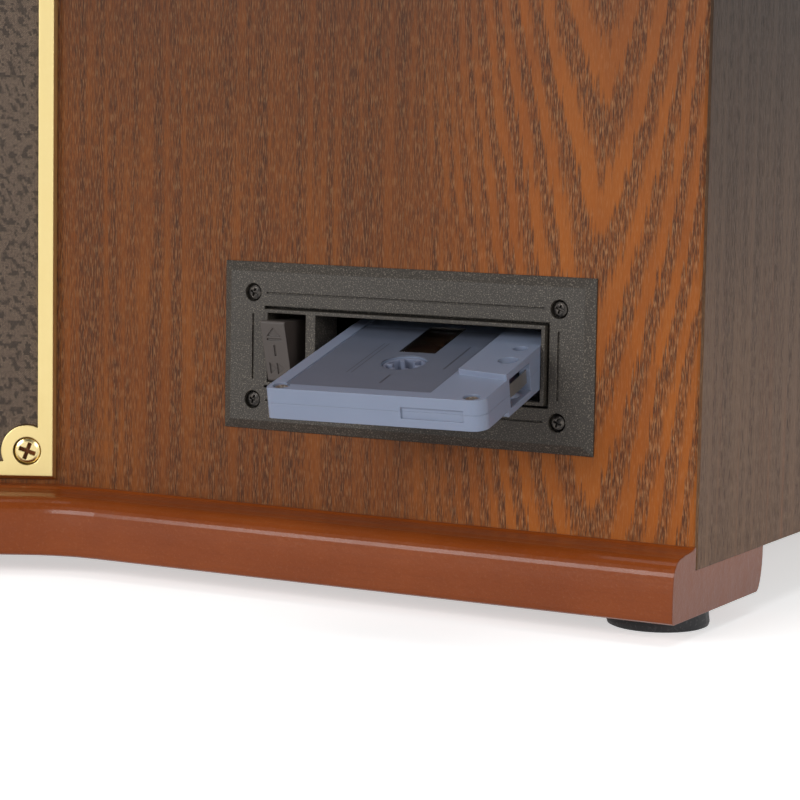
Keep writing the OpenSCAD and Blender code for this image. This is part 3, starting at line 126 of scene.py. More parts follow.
class Graph:
    """One material's nodes. Each call adds a node and returns its output."""

    def __init__(self, name, edge=0.4):
        self.edge = edge
        self.material = bpy.data.materials.new(name)
        self.material.use_nodes = True
        self.tree = self.material.node_tree
        self.tree.nodes.clear()
        self.out = self.tree.nodes.new("ShaderNodeOutputMaterial")
        self.shader = self.tree.nodes.new("ShaderNodeBsdfPrincipled")
        self.tree.links.new(self.shader.outputs[0], self.out.inputs["Surface"])

    def feed(self, socket, value):
        if isinstance(value, bpy.types.NodeSocket):
            self.tree.links.new(value, socket)
        else:
            socket.default_value = value

    def add(self, kind, inputs=(), output=0, **settings):
        node = self.tree.nodes.new(kind)
        for key, value in settings.items():
            setattr(node, key, value)
        for key, value in dict(inputs).items():
            self.feed(node.inputs[key], value)
        return node.outputs[output]

    def plus(self, a, b):
        return self.math("ADD", a, b)

    def minus(self, a, b):
        return self.math("SUBTRACT", a, b)

    def times(self, a, b):
        return self.math("MULTIPLY", a, b)

    def math(self, operation, a, b=0.0):
        return self.add("ShaderNodeMath", {0: a, 1: b}, operation=operation)

    def coords(self):
        """Object coordinates in millimetres, as x, y and z."""
        place = self.add("ShaderNodeTexCoord", output="Object")
        scaled = self.add("ShaderNodeVectorMath", {0: place, "Scale": 1000.0}, operation="SCALE")
        split = self.tree.nodes.new("ShaderNodeSeparateXYZ")
        self.feed(split.inputs[0], scaled)
        return split.outputs[0], split.outputs[1], split.outputs[2]

    def point(self, x, y, z=0.0):
        return self.add("ShaderNodeCombineXYZ", {0: x, 1: y, 2: z})

    def noise(self, x, y, z, detail=2.0, rough=0.5):
        """Noise over a point whose parts are already in noise cells."""
        return self.add(
            "ShaderNodeTexNoise",
            {"Vector": self.point(x, y, z), "Scale": 1.0, "Detail": detail, "Roughness": rough},
        )

    def grain(self, cell, detail=2.0, rough=0.5):
        """Even noise with cells of one size in millimetres."""
        x, y, z = self.coords()
        parts = [self.times(c, 1.0 / cell) for c in (x, y, z)]
        return self.noise(*parts, detail=detail, rough=rough)

    def steps(self, value, *stops):
        """A smooth curve through (position, height) stops."""
        node = self.tree.nodes.new("ShaderNodeValToRGB")
        self.feed(node.inputs[0], value)
        band = node.color_ramp
        while len(band.elements) < len(stops):
            band.elements.new(0.5)
        for element, (position, height) in zip(band.elements, stops):
            element.position = position
            element.color = (height, height, height, 1.0)
        return node.outputs[0]

    def mix(self, share, a, b, mode="MIX"):
        return self.add(
            "ShaderNodeMix", {0: share, 6: a, 7: b}, output=2, data_type="RGBA", blend_type=mode
        )

    def rounded(self):
        """A normal that takes the sharpness off edges, over the material's edge radius in millimetres."""
        return self.add("ShaderNodeBevel", {"Radius": self.edge * MM}, samples=6)

    def bump(self, height, strength, depth, below=None):
        """A normal from a height; depth is in metres."""
        below = self.rounded() if below is None else below
        inputs = {"Height": height, "Strength": strength, "Distance": depth, "Normal": below}
        return self.add("ShaderNodeBump", inputs)

    def done(self, **values):
        """Sets the shader's own sockets and returns the material."""
        for key, value in values.items():
            self.feed(self.shader.inputs[key.replace("_", " ")], value)
        return self.material


# Wood

def veneer(g, across, along, flame_at, tones, roughness, coat, stain):
    """Ash-like veneer in millimetres: pointed flames round flame_at and upright streaks beyond them.

    tones are two ground colours, the porous wood, its pores and its flecks; the last argument is a factor
    laid over the colour: painted shade by height on the front and sides, a flat tone on the lid.
    """
    ground, ground_low, dark, pore, fleck = tones
    wander = g.minus(g.noise(g.times(across, 0.03), g.times(along, 0.011), 3.0), 0.5)
    off = g.plus(g.minus(across, flame_at), g.times(wander, 8.0))
    away = g.math("SQRT", g.plus(g.times(off, off), 3.0))
    near = g.math("MINIMUM", away, 60.0)
    rise = g.plus(g.times(near, 2.43), g.times(g.times(near, near), 0.0703))
    rise = g.plus(rise, g.times(g.minus(away, near), 10.9))
    ragged = g.minus(g.noise(g.times(across, 1.2), g.times(along, 0.035), 9.0), 0.5)
    ring = g.minus(g.plus(rise, g.times(ragged, 30.0)), along)
    band = g.math("FRACT", g.times(g.plus(ring, FLAME_TIP), 1.0 / FLAME_STEP))
    flame = g.steps(band, (0.0, 0.75), (0.08, 1.0), (0.4, 0.8), (0.58, 0.12), (0.92, 0.05), (1.0, 0.75))
    stripes = g.noise(g.times(across, 0.3), g.times(along, 0.006), 17.0, 2.0, 0.6)
    stripes = g.steps(stripes, (0.35, 0.25), (0.6, 0.9))
    beyond = g.steps(g.times(away, 0.01), (0.28, 0.0), (0.6, 1.0))
    porous = g.plus(g.times(flame, g.minus(1.0, beyond)), g.times(stripes, beyond))
    pores = g.noise(g.times(across, 3.1), g.times(along, 0.2), 1.0, 2.0, 0.6)
    pores = g.times(g.steps(pores, (0.46, 0.0), (0.54, 1.0)), porous)
    flecks = g.noise(g.times(across, 2.9), g.times(along, 0.3), 5.0, 2.0, 0.6)
    flecks = g.times(g.steps(flecks, (0.5, 0.0), (0.68, 1.0)), g.plus(g.times(porous, 0.8), 0.2))
    patch = g.noise(g.times(across, 0.05), g.times(along, 0.02), 21.0)
    colour = g.mix(g.steps(patch, (0.35, 0.0), (0.65, 1.0)), ground, ground_low)
    amber = g.noise(g.times(across, 0.33), g.times(along, 0.007), 31.0, 2.0, 0.6)
    amber = g.times(g.steps(amber, (0.55, 0.0), (0.68, 1.0)), g.minus(1.0, g.times(porous, 0.6)))
    colour = g.mix(g.times(amber, 0.6), colour, srgb(150, 78, 12))
    colour = g.mix(g.times(porous, 0.7), colour, dark)
    colour = g.mix(g.times(pores, 0.85), colour, pore)
    colour = g.mix(g.times(flecks, 0.65), colour, fleck)
    bright = g.minus(1.3, g.times(beyond, 0.4))
    colour = g.mix(1.0, colour, g.point(bright, bright, bright), "MULTIPLY")
    # The last factor multiplies the colour: painted shade by height on the front and sides, a flat tone on
    # the lid.
    colour = g.mix(1.0, colour, stain, "MULTIPLY")
    rough = g.plus(roughness, g.times(pores, 0.12))
    normal = g.bump(pores, 0.3, -0.0001)
    normal = g.bump(g.grain(1.6), 0.1, 0.0002, normal)
    return g.done(
        Base_Color=colour, Roughness=rough, Normal=normal, Coat_Weight=coat, Coat_Roughness=0.25,
        Specular_IOR_Level=0.16,
    )


def stain(g, z, *stops):
    """Painted shade that darkens the wood towards the top; the stops are heights in millimetres and
    strengths.
    """
    return g.steps(g.times(z, 0.003), *[(height * 0.003, strength) for height, strength in stops])


def wood_front():
    """Front: upright grain, the two wings matched like the leaves of a book."""
    g = Graph("wood_front", 0.5)
    x, y, z = g.coords()
    tones = (srgb(150, 82, 22), srgb(134, 70, 16), srgb(100, 55, 26), srgb(62, 36, 22), srgb(172, 126, 84))
    return veneer(
        g, g.math("ABSOLUTE", x), z, FLAME_AT, tones, 0.44, 0.06,
        # Painted shade: the front darkens towards the top.
        stain(g, z, (20.0, 0.95), (110.0, 0.8), (180.0, 0.64), (260.0, 0.6)),
    )


def wood_side():
    """Sides: browner, quieter veneer, with painted shade that darkens them strongly towards the top."""
    g = Graph("wood_side", 0.5)
    x, y, z = g.coords()
    tones = (srgb(142, 104, 72), srgb(128, 92, 62), srgb(108, 76, 52), srgb(70, 46, 32), srgb(158, 126, 96))
    return veneer(
        g, g.plus(y, 900.0), z, 300.0, tones, 0.42, 0.0,
        # Painted shade: the sides darken strongly towards the top.
        stain(g, z, (20.0, 1.0), (70.0, 0.8), (120.0, 0.5), (175.0, 0.26), (260.0, 0.24)),
    )


def wood_lid():
    """Lid: grain runs from side to side on the top and on the lip."""
    g = Graph("wood_lid", 0.5)
    x, y, z = g.coords()
    normal = g.add("ShaderNodeTexCoord", output="Normal")
    split = g.tree.nodes.new("ShaderNodeSeparateXYZ")
    g.feed(split.inputs[0], normal)
    end = g.math("GREATER_THAN", g.math("ABSOLUTE", split.outputs[0]), 0.7)
    along = g.plus(g.times(end, y), g.times(g.minus(1.0, end), x))
    lip = g.math("LESS_THAN", g.math("ABSOLUTE", split.outputs[2]), 0.7)
    across = g.plus(g.times(lip, z), g.times(g.minus(1.0, lip), y))
    tones = (srgb(150, 88, 38), srgb(134, 78, 34), srgb(104, 64, 42), srgb(74, 46, 34), srgb(166, 126, 94))
    return veneer(g, across, along, -20.0, tones, 0.42, 0.06, (0.66, 0.66, 0.66, 1.0))


def wood_plinth():
    """Plinth: stained solid wood under clear lacquer, speckled rather than figured."""
    g = Graph("wood_plinth", 0.5)
    x, y, z = g.coords()
    mottle = g.grain(30.0, 3.0, 0.6)
    colour = g.mix(g.steps(mottle, (0.3, 0.0), (0.7, 1.0)), srgb(126, 58, 16), srgb(138, 66, 20))
    fibres = g.noise(g.times(x, 0.05), g.times(y, 2.0), g.times(z, 2.0), 2.0)
    colour = g.mix(g.times(g.steps(fibres, (0.5, 0.0), (0.75, 1.0)), 0.18), colour, srgb(104, 48, 20))
    specks = g.grain(0.8, 3.0, 0.7)
    colour = g.mix(g.times(g.steps(specks, (0.55, 0.0), (0.7, 1.0)), 0.2), colour, srgb(160, 104, 70))
    rough = g.plus(0.3, g.times(g.steps(g.grain(14.0, 4.0, 0.7), (0.5, 0.0), (0.75, 1.0)), 0.12))
    normal = g.bump(specks, 0.5, 0.0001)
    normal = g.bump(g.grain(3.5, 3.0, 0.6), 0.35, 0.0004, normal)
    return g.done(
        Base_Color=colour, Roughness=rough, Normal=normal, Coat_Weight=0.22, Coat_Roughness=0.12,
        Specular_IOR_Level=0.16,
    )


def plain_wood(name, light, dark, rough):
    """Unlacquered board, with grain from side to side."""
    g = Graph(name)
    x, y, z = g.coords()
    fibres = g.noise(g.times(x, 0.03), g.times(y, 0.8), g.times(z, 0.8), 5.0, 0.65)
    colour = g.mix(g.steps(fibres, (0.3, 0.0), (0.7, 1.0)), light, dark)
    return g.done(Base_Color=colour, Roughness=rough, Normal=g.bump(fibres, 0.3, 0.0002))


def wood_inner():
    return plain_wood("wood_inner", srgb(134, 96, 62), srgb(104, 72, 46), 0.7)


def back_board():
    """Painted fibre board with the pressed mesh of its rough side."""
    g = Graph("back_board")
    x, y, z = g.coords()
    mesh_x = g.math("SINE", g.times(x, 4.2))
    mesh_z = g.math("SINE", g.times(z, 4.2))
    mesh = g.times(mesh_x, mesh_z)
    colour = g.mix(g.grain(5.0, 4.0, 0.7), srgb(38, 33, 30), srgb(56, 49, 44))
    return g.done(Base_Color=colour, Roughness=0.75, Normal=g.bump(mesh, 0.35, 0.0002))


def deck_board():
    """Deck: dark satin paint with a fine spray texture."""
    g = Graph("deck_board")
    colour = g.mix(g.grain(22.0, 4.0), srgb(48, 36, 30), srgb(58, 44, 36))
    return g.done(Base_Color=colour, Roughness=0.42, Normal=g.bump(g.grain(0.7, 3.0), 0.2, 0.0001))


# Metals

def brushed(name, light, dark, roughness, axis, cell=0.35, metal=1.0):
    """Metal with fine scratches along one axis: 0, 1 or 2."""
    g = Graph(name, 0.5)
    parts = list(g.coords())
    scaled = [g.times(c, 0.02 if i == axis else 1.0 / cell) for i, c in enumerate(parts)]
    lines = g.noise(*scaled, detail=3.0, rough=0.6)
    dull = g.grain(18.0, 4.0, 0.65)
    colour = g.mix(g.times(dull, 0.6), light, dark)
    rough = g.plus(roughness, g.times(g.minus(dull, 0.5), 0.16))
    return g.done(
        Base_Color=colour, Metallic=metal, Roughness=rough, Normal=g.bump(lines, 0.12, 0.00004)
    )


def gilt():
    return brushed("gilt", srgb(228, 208, 150), srgb(208, 184, 122), 0.36, 2)


def gilt_screw():
    return brushed("gilt_screw", srgb(232, 214, 160), srgb(190, 160, 96), 0.2, 0)


def knob():
    return brushed("knob", srgb(222, 198, 136), srgb(196, 168, 104), 0.28, 1)


def brass():
    return brushed("brass", srgb(214, 184, 108), srgb(176, 142, 76), 0.3, 0)


def zinc():
    return brushed("zinc", srgb(176, 178, 180), srgb(140, 143, 148), 0.42, 0, 1.2)


def steel():
    return brushed("steel", srgb(214, 216, 218), srgb(180, 183, 187), 0.2, 2)


def arm_metal():
    return brushed("arm_metal", srgb(208, 210, 214), srgb(176, 179, 184), 0.25, 1)


def platter():
    """Turned aluminium: fine rings round the centre pin."""
    g = Graph("platter")
    low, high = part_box("platter")
    x, y, z = g.coords()
    dx = g.minus(x, (low.x + high.x) / 2 / MM)
    dy = g.minus(y, (low.y + high.y) / 2 / MM)
    radius = g.math("SQRT", g.plus(g.times(dx, dx), g.times(dy, dy)))
    turning = g.noise(g.times(radius, 3.0), g.times(z, 3.0), 0.0, 3.0, 0.7)
    colour = g.mix(turning, srgb(196, 198, 200), srgb(168, 170, 173))
    return g.done(Base_Color=colour, Metallic=1.0, Roughness=0.3, Normal=g.bump(turning, 0.25, 0.00005))


# Plastics, rubber and the rest

def moulded(name, low, high, rough, cell, depth, strength=0.6, speck=None, level=0.5):
    """Moulded plastic with a spark-eroded grain; speck adds bright grains."""
    g = Graph(name)
    relief = g.grain(cell, 2.0, 0.6)
    tone = g.grain(24.0, 3.0, 0.6)
    colour = g.mix(tone, low, high)
    if speck:
        points = g.steps(g.grain(cell * 0.9, 1.0), (0.56, 0.0), (0.68, 1.0))
        colour = g.mix(g.times(points, 0.7), colour, speck)
    roughness = g.plus(rough, g.times(g.minus(tone, 0.5), 0.12))
    return g.done(
        Base_Color=colour, Roughness=roughness, Normal=g.bump(relief, strength, depth),
        Specular_IOR_Level=level,
    )


def bezel():
    low, high, speck = srgb(50, 45, 40), srgb(58, 53, 47), srgb(124, 116, 104)
    return moulded("bezel", low, high, 0.5, 0.42, 0.00014, 0.9, speck, 0.35)


def button():
    return moulded("button", srgb(64, 57, 53), srgb(72, 64, 60), 0.45, 0.6, 0.00005, 0.4)


def inner_black():
    return moulded("inner_black", srgb(26, 26, 27), srgb(34, 34, 35), 0.5, 0.8, 0.00008)


def basket():
    return moulded("basket", srgb(36, 37, 40), srgb(44, 45, 48), 0.45, 1.0, 0.0001)


def foot_rubber():
    low, high, speck = srgb(28, 28, 30), srgb(38, 38, 41), srgb(70, 70, 72)
    return moulded("foot_rubber", low, high, 0.6, 0.9, 0.00012, 0.6, speck)


def belt():
    return moulded("belt", srgb(20, 20, 21), srgb(28, 28, 29), 0.7, 0.5, 0.00006)


def pointer():
    return moulded("pointer", srgb(196, 44, 30), srgb(206, 52, 36), 0.4, 1.0, 0.00003)


def shell():
    """Cassette shell: smooth blue-grey plastic; its sunk label area is darker, with a few printed rules."""
    g = Graph("shell", 0.35)
    place = g.add("ShaderNodeTexCoord", output="Object")
    turn = (CASSETTE_TILT, 0.0, CASSETTE_TURN)
    inputs = {"Vector": place, "Location": tuple(CASSETTE_AT), "Rotation": turn}
    local = g.add("ShaderNodeMapping", inputs, vector_type="TEXTURE")
    local = g.add("ShaderNodeVectorMath", {0: local, "Scale": 1000.0}, operation="SCALE")
    split = g.tree.nodes.new("ShaderNodeSeparateXYZ")
    g.feed(split.inputs[0], local)
    x, y, z = split.outputs

    def within(value, low, high):
        inside = g.math("GREATER_THAN", value, low)
        return g.times(inside, g.math("LESS_THAN", value, high))

    flow = g.grain(26.0, 4.0, 0.6)
    colour = g.mix(flow, srgb(120, 130, 152), srgb(130, 140, 162))
    label = g.times(within(x, -27.7, 15.1), within(y, -46.2, 8.6))
    label = g.times(label, g.math("LESS_THAN", z, -0.15))
    label = g.times(label, g.math("GREATER_THAN", z, -0.6))
    colour = g.mix(label, colour, g.mix(g.grain(7.0, 3.0), srgb(90, 96, 112), srgb(98, 104, 120)))
    rules = None
    for low, high, front, back in LABEL_RULES:
        rule = g.times(within(x, low, high), within(y, front, back))
        rules = rule if rules is None else g.math("MAXIMUM", rules, rule)
    colour = g.mix(g.times(rules, g.times(label, 0.75)), colour, srgb(44, 48, 58))
    fine = [g.times(value, scale) for value, scale in zip((x, y, z), (0.4, 5.0, 2.0))]
    scuffs = g.steps(g.noise(*fine, detail=3.0), (0.66, 0.0), (0.74, 1.0))
    rough = g.plus(0.38, g.times(scuffs, 0.1))
    normal = g.bump(g.grain(0.5), 0.1, 0.00003)
    normal = g.bump(g.grain(9.0), 0.12, 0.0001, normal)
    return g.done(Base_Color=colour, Roughness=rough, Normal=normal, Subsurface_Weight=0.03)


def hub():
    return moulded("hub", srgb(112, 120, 142), srgb(122, 130, 152), 0.4, 0.7, 0.00004)


def tape():
    """Wound tape: fine rings of its edges."""
    g = Graph("tape")
    fine = g.grain(0.4, 2.0)
    colour = g.mix(fine, srgb(74, 44, 26), srgb(92, 56, 34))
    return g.done(Base_Color=colour, Roughness=0.35, Normal=g.bump(fine, 0.3, 0.00004))


def dark_screw(name, light, dark, rough):
    g = Graph(name)
    wear = g.grain(1.1, 3.0, 0.7)
    colour = g.mix(g.steps(wear, (0.45, 0.0), (0.7, 1.0)), dark, light)
    return g.done(Base_Color=colour, Metallic=0.8, Roughness=rough, Normal=g.bump(wear, 0.3, 0.00005))


def black_screw():
    return dark_screw("black_screw", srgb(92, 86, 80), srgb(46, 43, 41), 0.28)


def small_screw():
    return dark_screw("small_screw", srgb(206, 202, 196), srgb(140, 130, 118), 0.28)


def clear_plastic(name, tint, rough):
    g = Graph(name)
    haze = g.grain(12.0, 4.0, 0.7)
    roughness = g.plus(rough, g.times(haze, 0.06))
    return g.done(
        Base_Color=tint, Roughness=roughness, Transmission_Weight=1.0, IOR=1.49,
        Normal=g.bump(haze, 0.03, 0.0001),
    )


def lens():
    return clear_plastic("lens", srgb(246, 246, 240), 0.02)


def clear():
    return clear_plastic("clear", srgb(214, 206, 196), 0.08)


def scale_card():
    """Dial card: cream print stock with faint mottling."""
    g = Graph("scale_card")
    colour = g.mix(g.grain(9.0, 4.0, 0.6), srgb(232, 216, 170), srgb(240, 226, 184))
    return g.done(Base_Color=colour, Roughness=0.6, Normal=g.bump(g.grain(0.3), 0.15, 0.00003))


def display():
    g = Graph("display")
    colour = g.mix(g.grain(20.0), srgb(12, 14, 16), srgb(18, 21, 24))
    return g.done(Base_Color=colour, Roughness=0.08, Coat_Weight=0.6, Coat_Roughness=0.03)


def mat():
    """Ribbed rubber mat."""
    g = Graph("mat")
    low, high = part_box("platter")
    x, y, z = g.coords()
    dx = g.minus(x, (low.x + high.x) / 2 / MM)
    dy = g.minus(y, (low.y + high.y) / 2 / MM)
    radius = g.math("SQRT", g.plus(g.times(dx, dx), g.times(dy, dy)))
    ribs = g.math("SINE", g.times(radius, 3.14))
    colour = g.mix(g.grain(7.0, 3.0), srgb(26, 26, 27), srgb(36, 36, 37))
    normal = g.bump(ribs, 0.6, 0.0004)
    return g.done(Base_Color=colour, Roughness=0.72, Normal=g.bump(g.grain(0.5), 0.3, 0.0001, normal))


def cone():
    """Doped paper cone."""
    g = Graph("cone")
    fibre = g.grain(1.2, 5.0, 0.75)
    colour = g.mix(fibre, srgb(30, 29, 28), srgb(48, 46, 44))
    return g.done(Base_Color=colour, Roughness=0.85, Normal=g.bump(fibre, 0.6, 0.0002))


def circuit():
    """Circuit board lacquer with darker tracks."""
    g = Graph("circuit")
    x, y, z = g.coords()
    cell = g.noise(*[g.math("SNAP", c, 3.0) for c in (x, y, z)], detail=0.0)
    colour = g.mix(g.steps(cell, (0.48, 0.0), (0.52, 1.0)), srgb(24, 84, 48), srgb(34, 108, 62))
    return g.done(Base_Color=colour, Roughness=0.4, Normal=g.bump(cell, 0.2, 0.0001))


def grille_cloth():
    """Speaker cloth: fine twill with short stepped figures woven darker, and painted shade and highlight
    over the weave.
    """
    g = Graph("grille_cloth")
    x, y, z = g.coords()
    twill = g.math("SINE", g.times(g.plus(x, g.times(z, 1.3)), 9.0))
    warp = g.math("SINE", g.times(x, 15.0))
    weave = g.plus(g.times(twill, 0.6), g.times(warp, 0.4))
    step_x = g.math("SNAP", g.plus(x, g.times(g.math("SNAP", z, 0.7), 0.35)), 0.6)
    step_z = g.math("SNAP", z, 0.7)
    figure = g.noise(g.times(step_x, 0.55), g.times(step_z, 0.45), 2.0, 1.0, 0.4)
    figure = g.steps(figure, (0.0, 1.0), (0.42, 1.0), (0.46, 0.0), (1.0, 0.0))
    yarn = g.grain(0.35, 2.0, 0.7)
    colour = g.mix(g.steps(yarn, (0.35, 0.0), (0.65, 1.0)), srgb(76, 61, 50), srgb(122, 104, 88))
    colour = g.mix(g.times(figure, 0.7), colour, srgb(42, 32, 26))
    # Painted shade in the weave's hollows and painted highlight on its ridges, from the same relief as the
    # bump.
    weave_shade_and_highlight = g.steps(g.plus(g.times(weave, 0.5), 0.5), (0.0, 0.62), (1.0, 1.25))
    colour = g.mix(1.0, colour, weave_shade_and_highlight, "MULTIPLY")
    height = g.minus(weave, g.times(figure, 0.8))
    return g.done(
        Base_Color=colour, Roughness=0.85, Sheen_Weight=0.2, Sheen_Roughness=0.5,
        Normal=g.bump(height, 0.6, 0.00015),
    )


def print_ink():
    """Black print, very slightly uneven."""
    g = Graph("print_ink")
    colour = g.mix(g.grain(0.6, 3.0), srgb(26, 22, 20), srgb(38, 32, 28))
    return g.done(Base_Color=colour, Roughness=0.55, Normal=g.bump(g.grain(0.2), 0.1, 0.00002))


def leader():
    """Clear leader at the start of the tape, seen edge-on as a whitish strip."""
    g = Graph("leader")
    colour = g.mix(g.grain(2.0, 3.0, 0.6), srgb(86, 84, 82), srgb(104, 102, 100))
    return g.done(Base_Color=colour, Roughness=0.3, Normal=g.bump(g.grain(1.0), 0.1, 0.00003))


FINISHES = [
    wood_front, wood_side, wood_lid, wood_plinth, wood_inner, back_board, deck_board, foot_rubber, gilt,
    gilt_screw, grille_cloth, basket, cone, lens, scale_card, pointer, knob, zinc, bezel, button,
    black_screw, inner_black, shell, clear, hub, tape, small_screw, display, platter, mat, steel, belt,
    brass, arm_metal, circuit,
]
materials = {make.__name__: make() for make in FINISHES}

for part in frame["record"]["subparts"]:
    node = frame["nodes"][part["node"]]
    for place in node.material_slots:
        place.link = "OBJECT"
        place.material = materials[part["material_slot"]]


# Pieces that only Blender makes

def piece(name, verts, faces, material, body, smooth=True):
    """A mesh piece in metres with its material and the body that it rides on."""
    mesh = bpy.data.meshes.new(name)
    mesh.from_pydata(verts, [], faces)
    mesh.materials.append(material)
    for face in mesh.polygons:
        face.use_smooth = smooth
    obj = bpy.data.objects.new(name, mesh)
    bpy.context.scene.collection.objects.link(obj)
    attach(obj, body)
    return obj


def on_bow(arc, z, out=0.0):
    """A point of the bowed face: arc is the way round it from its middle, out is in front of it."""
    angle = arc / BOW_R
    reach = BOW_R + out
    return Vector((reach * math.sin(angle), BOW_Y - reach * math.cos(angle), z))


def speaker_cloth():
    """The cloth, stretched on the bow and notched round the bosses of the gilt frame."""
    frame_low, frame_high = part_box("grille_frame")
    low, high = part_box("grille_cloth")
    frame_half = BOW_R * (BOW_ANGLE - math.radians(0.25))
    half = frame_half - STRIP_W - 0.0002
    bosses = [
        (side * (frame_half - BOSS_IN), z)
        for side in (-1, 1)
        for z in (frame_low.z + BOSS_IN, frame_high.z - BOSS_IN)
    ]
    across, up = 150, 130
    verts, hidden, faces = [], [], []
    for j in range(up + 1):
        for i in range(across + 1):
            arc = half * (2 * i / across - 1)
            z = low.z + (high.z - low.z) * j / up
            covered = False
            for boss_arc, boss_z in bosses:
                away = math.hypot(arc - boss_arc, z - boss_z)
                if away < BOSS_R:
                    covered = True
                    grow = BOSS_R / max(away, 0.001)
                    arc, z = boss_arc + (arc - boss_arc) * grow, boss_z + (z - boss_z) * grow
            hidden.append(covered)
            verts.append(on_bow(min(max(arc, -half), half), min(max(z, low.z), high.z), 0.0004))
    for j in range(up):
        for i in range(across):
            corner = j * (across + 1) + i
            face = (corner, corner + 1, corner + across + 2, corner + across + 1)
            if not all(hidden[k] for k in face):
                faces.append(face)
    cloth = piece("speaker_cloth", verts, faces, materials["grille_cloth"], "case")
    tidy = bmesh.new()
    tidy.from_mesh(cloth.data)
    bmesh.ops.delete(tidy, geom=[v for v in tidy.verts if not v.link_faces], context="VERTS")
    area = sum(f.calc_area() for f in tidy.faces)
    tidy.to_mesh(cloth.data)
    tidy.free()
    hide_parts("grille_cloth")


def tape_leader():
    """The leader, seen across both roller openings in the cassette's edge."""
    turn = Matrix.Translation(CASSETTE_AT) @ Matrix.Rotation(CASSETTE_TURN, 4, "Z")
    turn = turn @ Matrix.Rotation(CASSETTE_TILT, 4, "X")
    middle = CASSETTE_LENGTH / 2 - CASSETTE_OUT
    steps = 16
    for name, side in (("leader_front", -1), ("leader_back", 1)):
        verts, faces = [], []
        for i in range(steps + 1):
            run = 2 * i / steps - 1
            y = middle + side * 0.02275 + run * 0.0080
            for x, z in ((0.0311, -0.0024), (0.0311, -0.0063), (0.03095, -0.0063), (0.03095, -0.0024)):
                verts.append(turn @ Vector((x - 0.0003 * run * run, y, z)))
        for i in range(steps):
            for k in range(4):
                a, b = 4 * i + k, 4 * i + (k + 1) % 4
                faces.append((a, b, b + 4, a + 4))
        faces += [(3, 2, 1, 0), tuple(4 * steps + k for k in range(4))]
        piece(name, verts, faces, leader_finish, "cassette_body", smooth=False)


def dial_numbers():
    """Plain numbers on the tuning dial: the short scale above and the long scale below."""
    low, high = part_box("dial_scale")
    middle = (low.z + high.z) / 2
    rows = ((0.0082, (54, 70, 90, 120, 160)), (-0.0023, (88, 93, 98, 103, 108)))
    for row, (lift, numbers) in enumerate(rows):
        for i, number in enumerate(numbers):
            angle = math.radians(10.0 * (i - 2))
            curve = bpy.data.curves.new(f"dial_number_{row}_{i}", "FONT")
            curve.body = str(number)
            curve.size = 0.0046
            curve.align_x = "CENTER"
            curve.align_y = "CENTER"
            curve.extrude = 0.00003
            curve.materials.append(ink)
            text = bpy.data.objects.new(curve.name, curve)
            bpy.context.scene.collection.objects.link(text)
            text.location = on_bow(angle * BOW_R, middle + lift, -0.00994)
            text.rotation_euler = (math.pi / 2, 0.0, angle)
            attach(text, "case")


ink = print_ink()
leader_finish = leader()
speaker_cloth()
tape_leader()
dial_numbers()


# Camera, lights and floor

def camera():
    yaw, pitch, roll = CAMERA_YAW, CAMERA_PITCH, CAMERA_ROLL
    forward = Vector((-math.sin(yaw) * math.cos(pitch), math.cos(yaw) * math.cos(pitch), -math.sin(pitch)))
    level = Vector((math.cos(yaw), math.sin(yaw), 0.0))
    lift = level.cross(forward)
    right = level * math.cos(roll) + lift * math.sin(roll)
    up = lift * math.cos(roll) - level * math.sin(roll)
    data = bpy.data.cameras.new("photo_camera")
    data.lens = CAMERA_LENS
    data.sensor_width = CAMERA_SENSOR
    data.clip_start, data.clip_end = 0.05, 100.0
    obj = bpy.data.objects.new("photo_camera", data)
    bpy.context.scene.collection.objects.link(obj)
    turn = Matrix((right, up, -forward)).transposed().to_4x4()
    obj.matrix_world = Matrix.Translation(BAY + CAMERA_FROM_BAY) @ turn
    bpy.context.scene.camera = obj


def softbox(name, place, aim, width, height, power):
    data = bpy.data.lights.new(name, "AREA")
    data.shape = "RECTANGLE"
    data.size, data.size_y = width, height
    data.energy = power
    obj = bpy.data.objects.new(name, data)
    bpy.context.scene.collection.objects.link(obj)
    obj.location = place
    obj.rotation_euler = (Vector(aim) - Vector(place)).to_track_quat("-Z", "Y").to_euler()


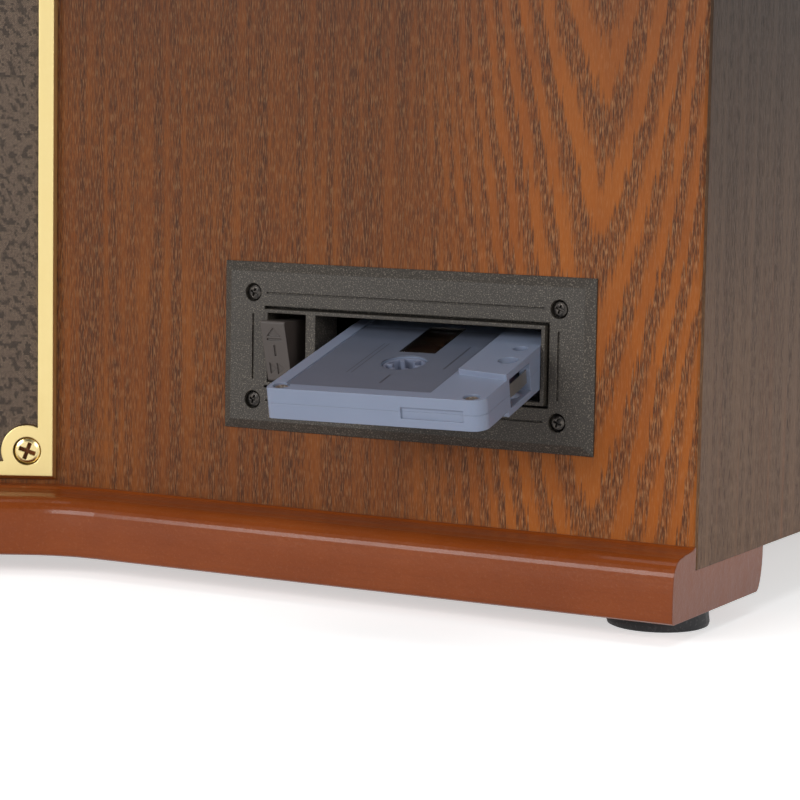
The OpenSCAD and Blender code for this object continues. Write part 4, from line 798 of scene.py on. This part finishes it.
def world():
    """White to the camera and in reflections, darker overhead; a plain level for diffuse light."""
    scene_world = bpy.data.worlds.new("studio")
    bpy.context.scene.world = scene_world
    scene_world.use_nodes = True
    tree = scene_world.node_tree
    tree.nodes.clear()
    out = tree.nodes.new("ShaderNodeOutputWorld")
    back = tree.nodes.new("ShaderNodeBackground")
    tree.links.new(back.outputs[0], out.inputs[0])
    path = tree.nodes.new("ShaderNodeLightPath")
    seen = None
    for ray in ("Is Camera Ray", "Is Glossy Ray", "Is Transmission Ray"):
        if seen is None:
            seen = path.outputs[ray]
            continue
        either = tree.nodes.new("ShaderNodeMath")
        either.operation = "MAXIMUM"
        tree.links.new(seen, either.inputs[0])
        tree.links.new(path.outputs[ray], either.inputs[1])
        seen = either.outputs[0]
    direction = tree.nodes.new("ShaderNodeTexCoord")
    split = tree.nodes.new("ShaderNodeSeparateXYZ")
    tree.links.new(direction.outputs["Generated"], split.inputs[0])
    fade = tree.nodes.new("ShaderNodeValToRGB")
    tree.links.new(split.outputs[2], fade.inputs[0])
    fade.color_ramp.elements[0].position = 0.3
    fade.color_ramp.elements[0].color = (1.0, 1.0, 1.0, 1.0)
    fade.color_ramp.elements[1].position = 0.62
    fade.color_ramp.elements[1].color = (0.12, 0.12, 0.12, 1.0)
    mix = tree.nodes.new("ShaderNodeMix")
    mix.data_type = "RGBA"
    tree.links.new(seen, mix.inputs[0])
    mix.inputs[6].default_value = (0.25, 0.25, 0.25, 1.0)
    tree.links.new(fade.outputs[0], mix.inputs[7])
    tree.links.new(mix.outputs[2], back.inputs[0])


def floor():
    """Plain pale floor; a little glow seen by the camera and in reflections takes it to white."""
    half = 30.0
    mesh = bpy.data.meshes.new("floor")
    z = cad_low.z
    corners = [(-half, -half, z), (half, -half, z), (half, half, z), (-half, half, z)]
    mesh.from_pydata(corners, [], [(0, 1, 2, 3)])
    obj = bpy.data.objects.new("floor", mesh)
    bpy.context.scene.collection.objects.link(obj)
    g = Graph("floor")
    path = g.tree.nodes.new("ShaderNodeLightPath")
    seen = g.math("MAXIMUM", path.outputs["Is Camera Ray"], path.outputs["Is Glossy Ray"])
    seen = g.math("MAXIMUM", seen, path.outputs["Is Transmission Ray"])
    glow = g.times(seen, 0.55)
    g.done(
        Base_Color=(0.9, 0.9, 0.9, 1.0), Roughness=0.9, Specular_IOR_Level=0.0,
        Emission_Color=(1.0, 1.0, 1.0, 1.0), Emission_Strength=glow,
    )
    mesh.materials.append(g.material)


camera()
softbox("key", (-0.6, -2.4, 1.0), (0.1, 0.0, 0.12), 1.5, 0.9, 36.0)
softbox("fill", (2.4, -1.4, 0.9), (0.2, 0.0, 0.08), 1.2, 0.8, 14.0)
softbox("top", (0.0, 0.3, 2.6), (0.0, 0.0, 0.1), 2.0, 1.6, 22.0)
world()
floor()

scene = bpy.context.scene
scene.view_settings.view_transform = "Standard"
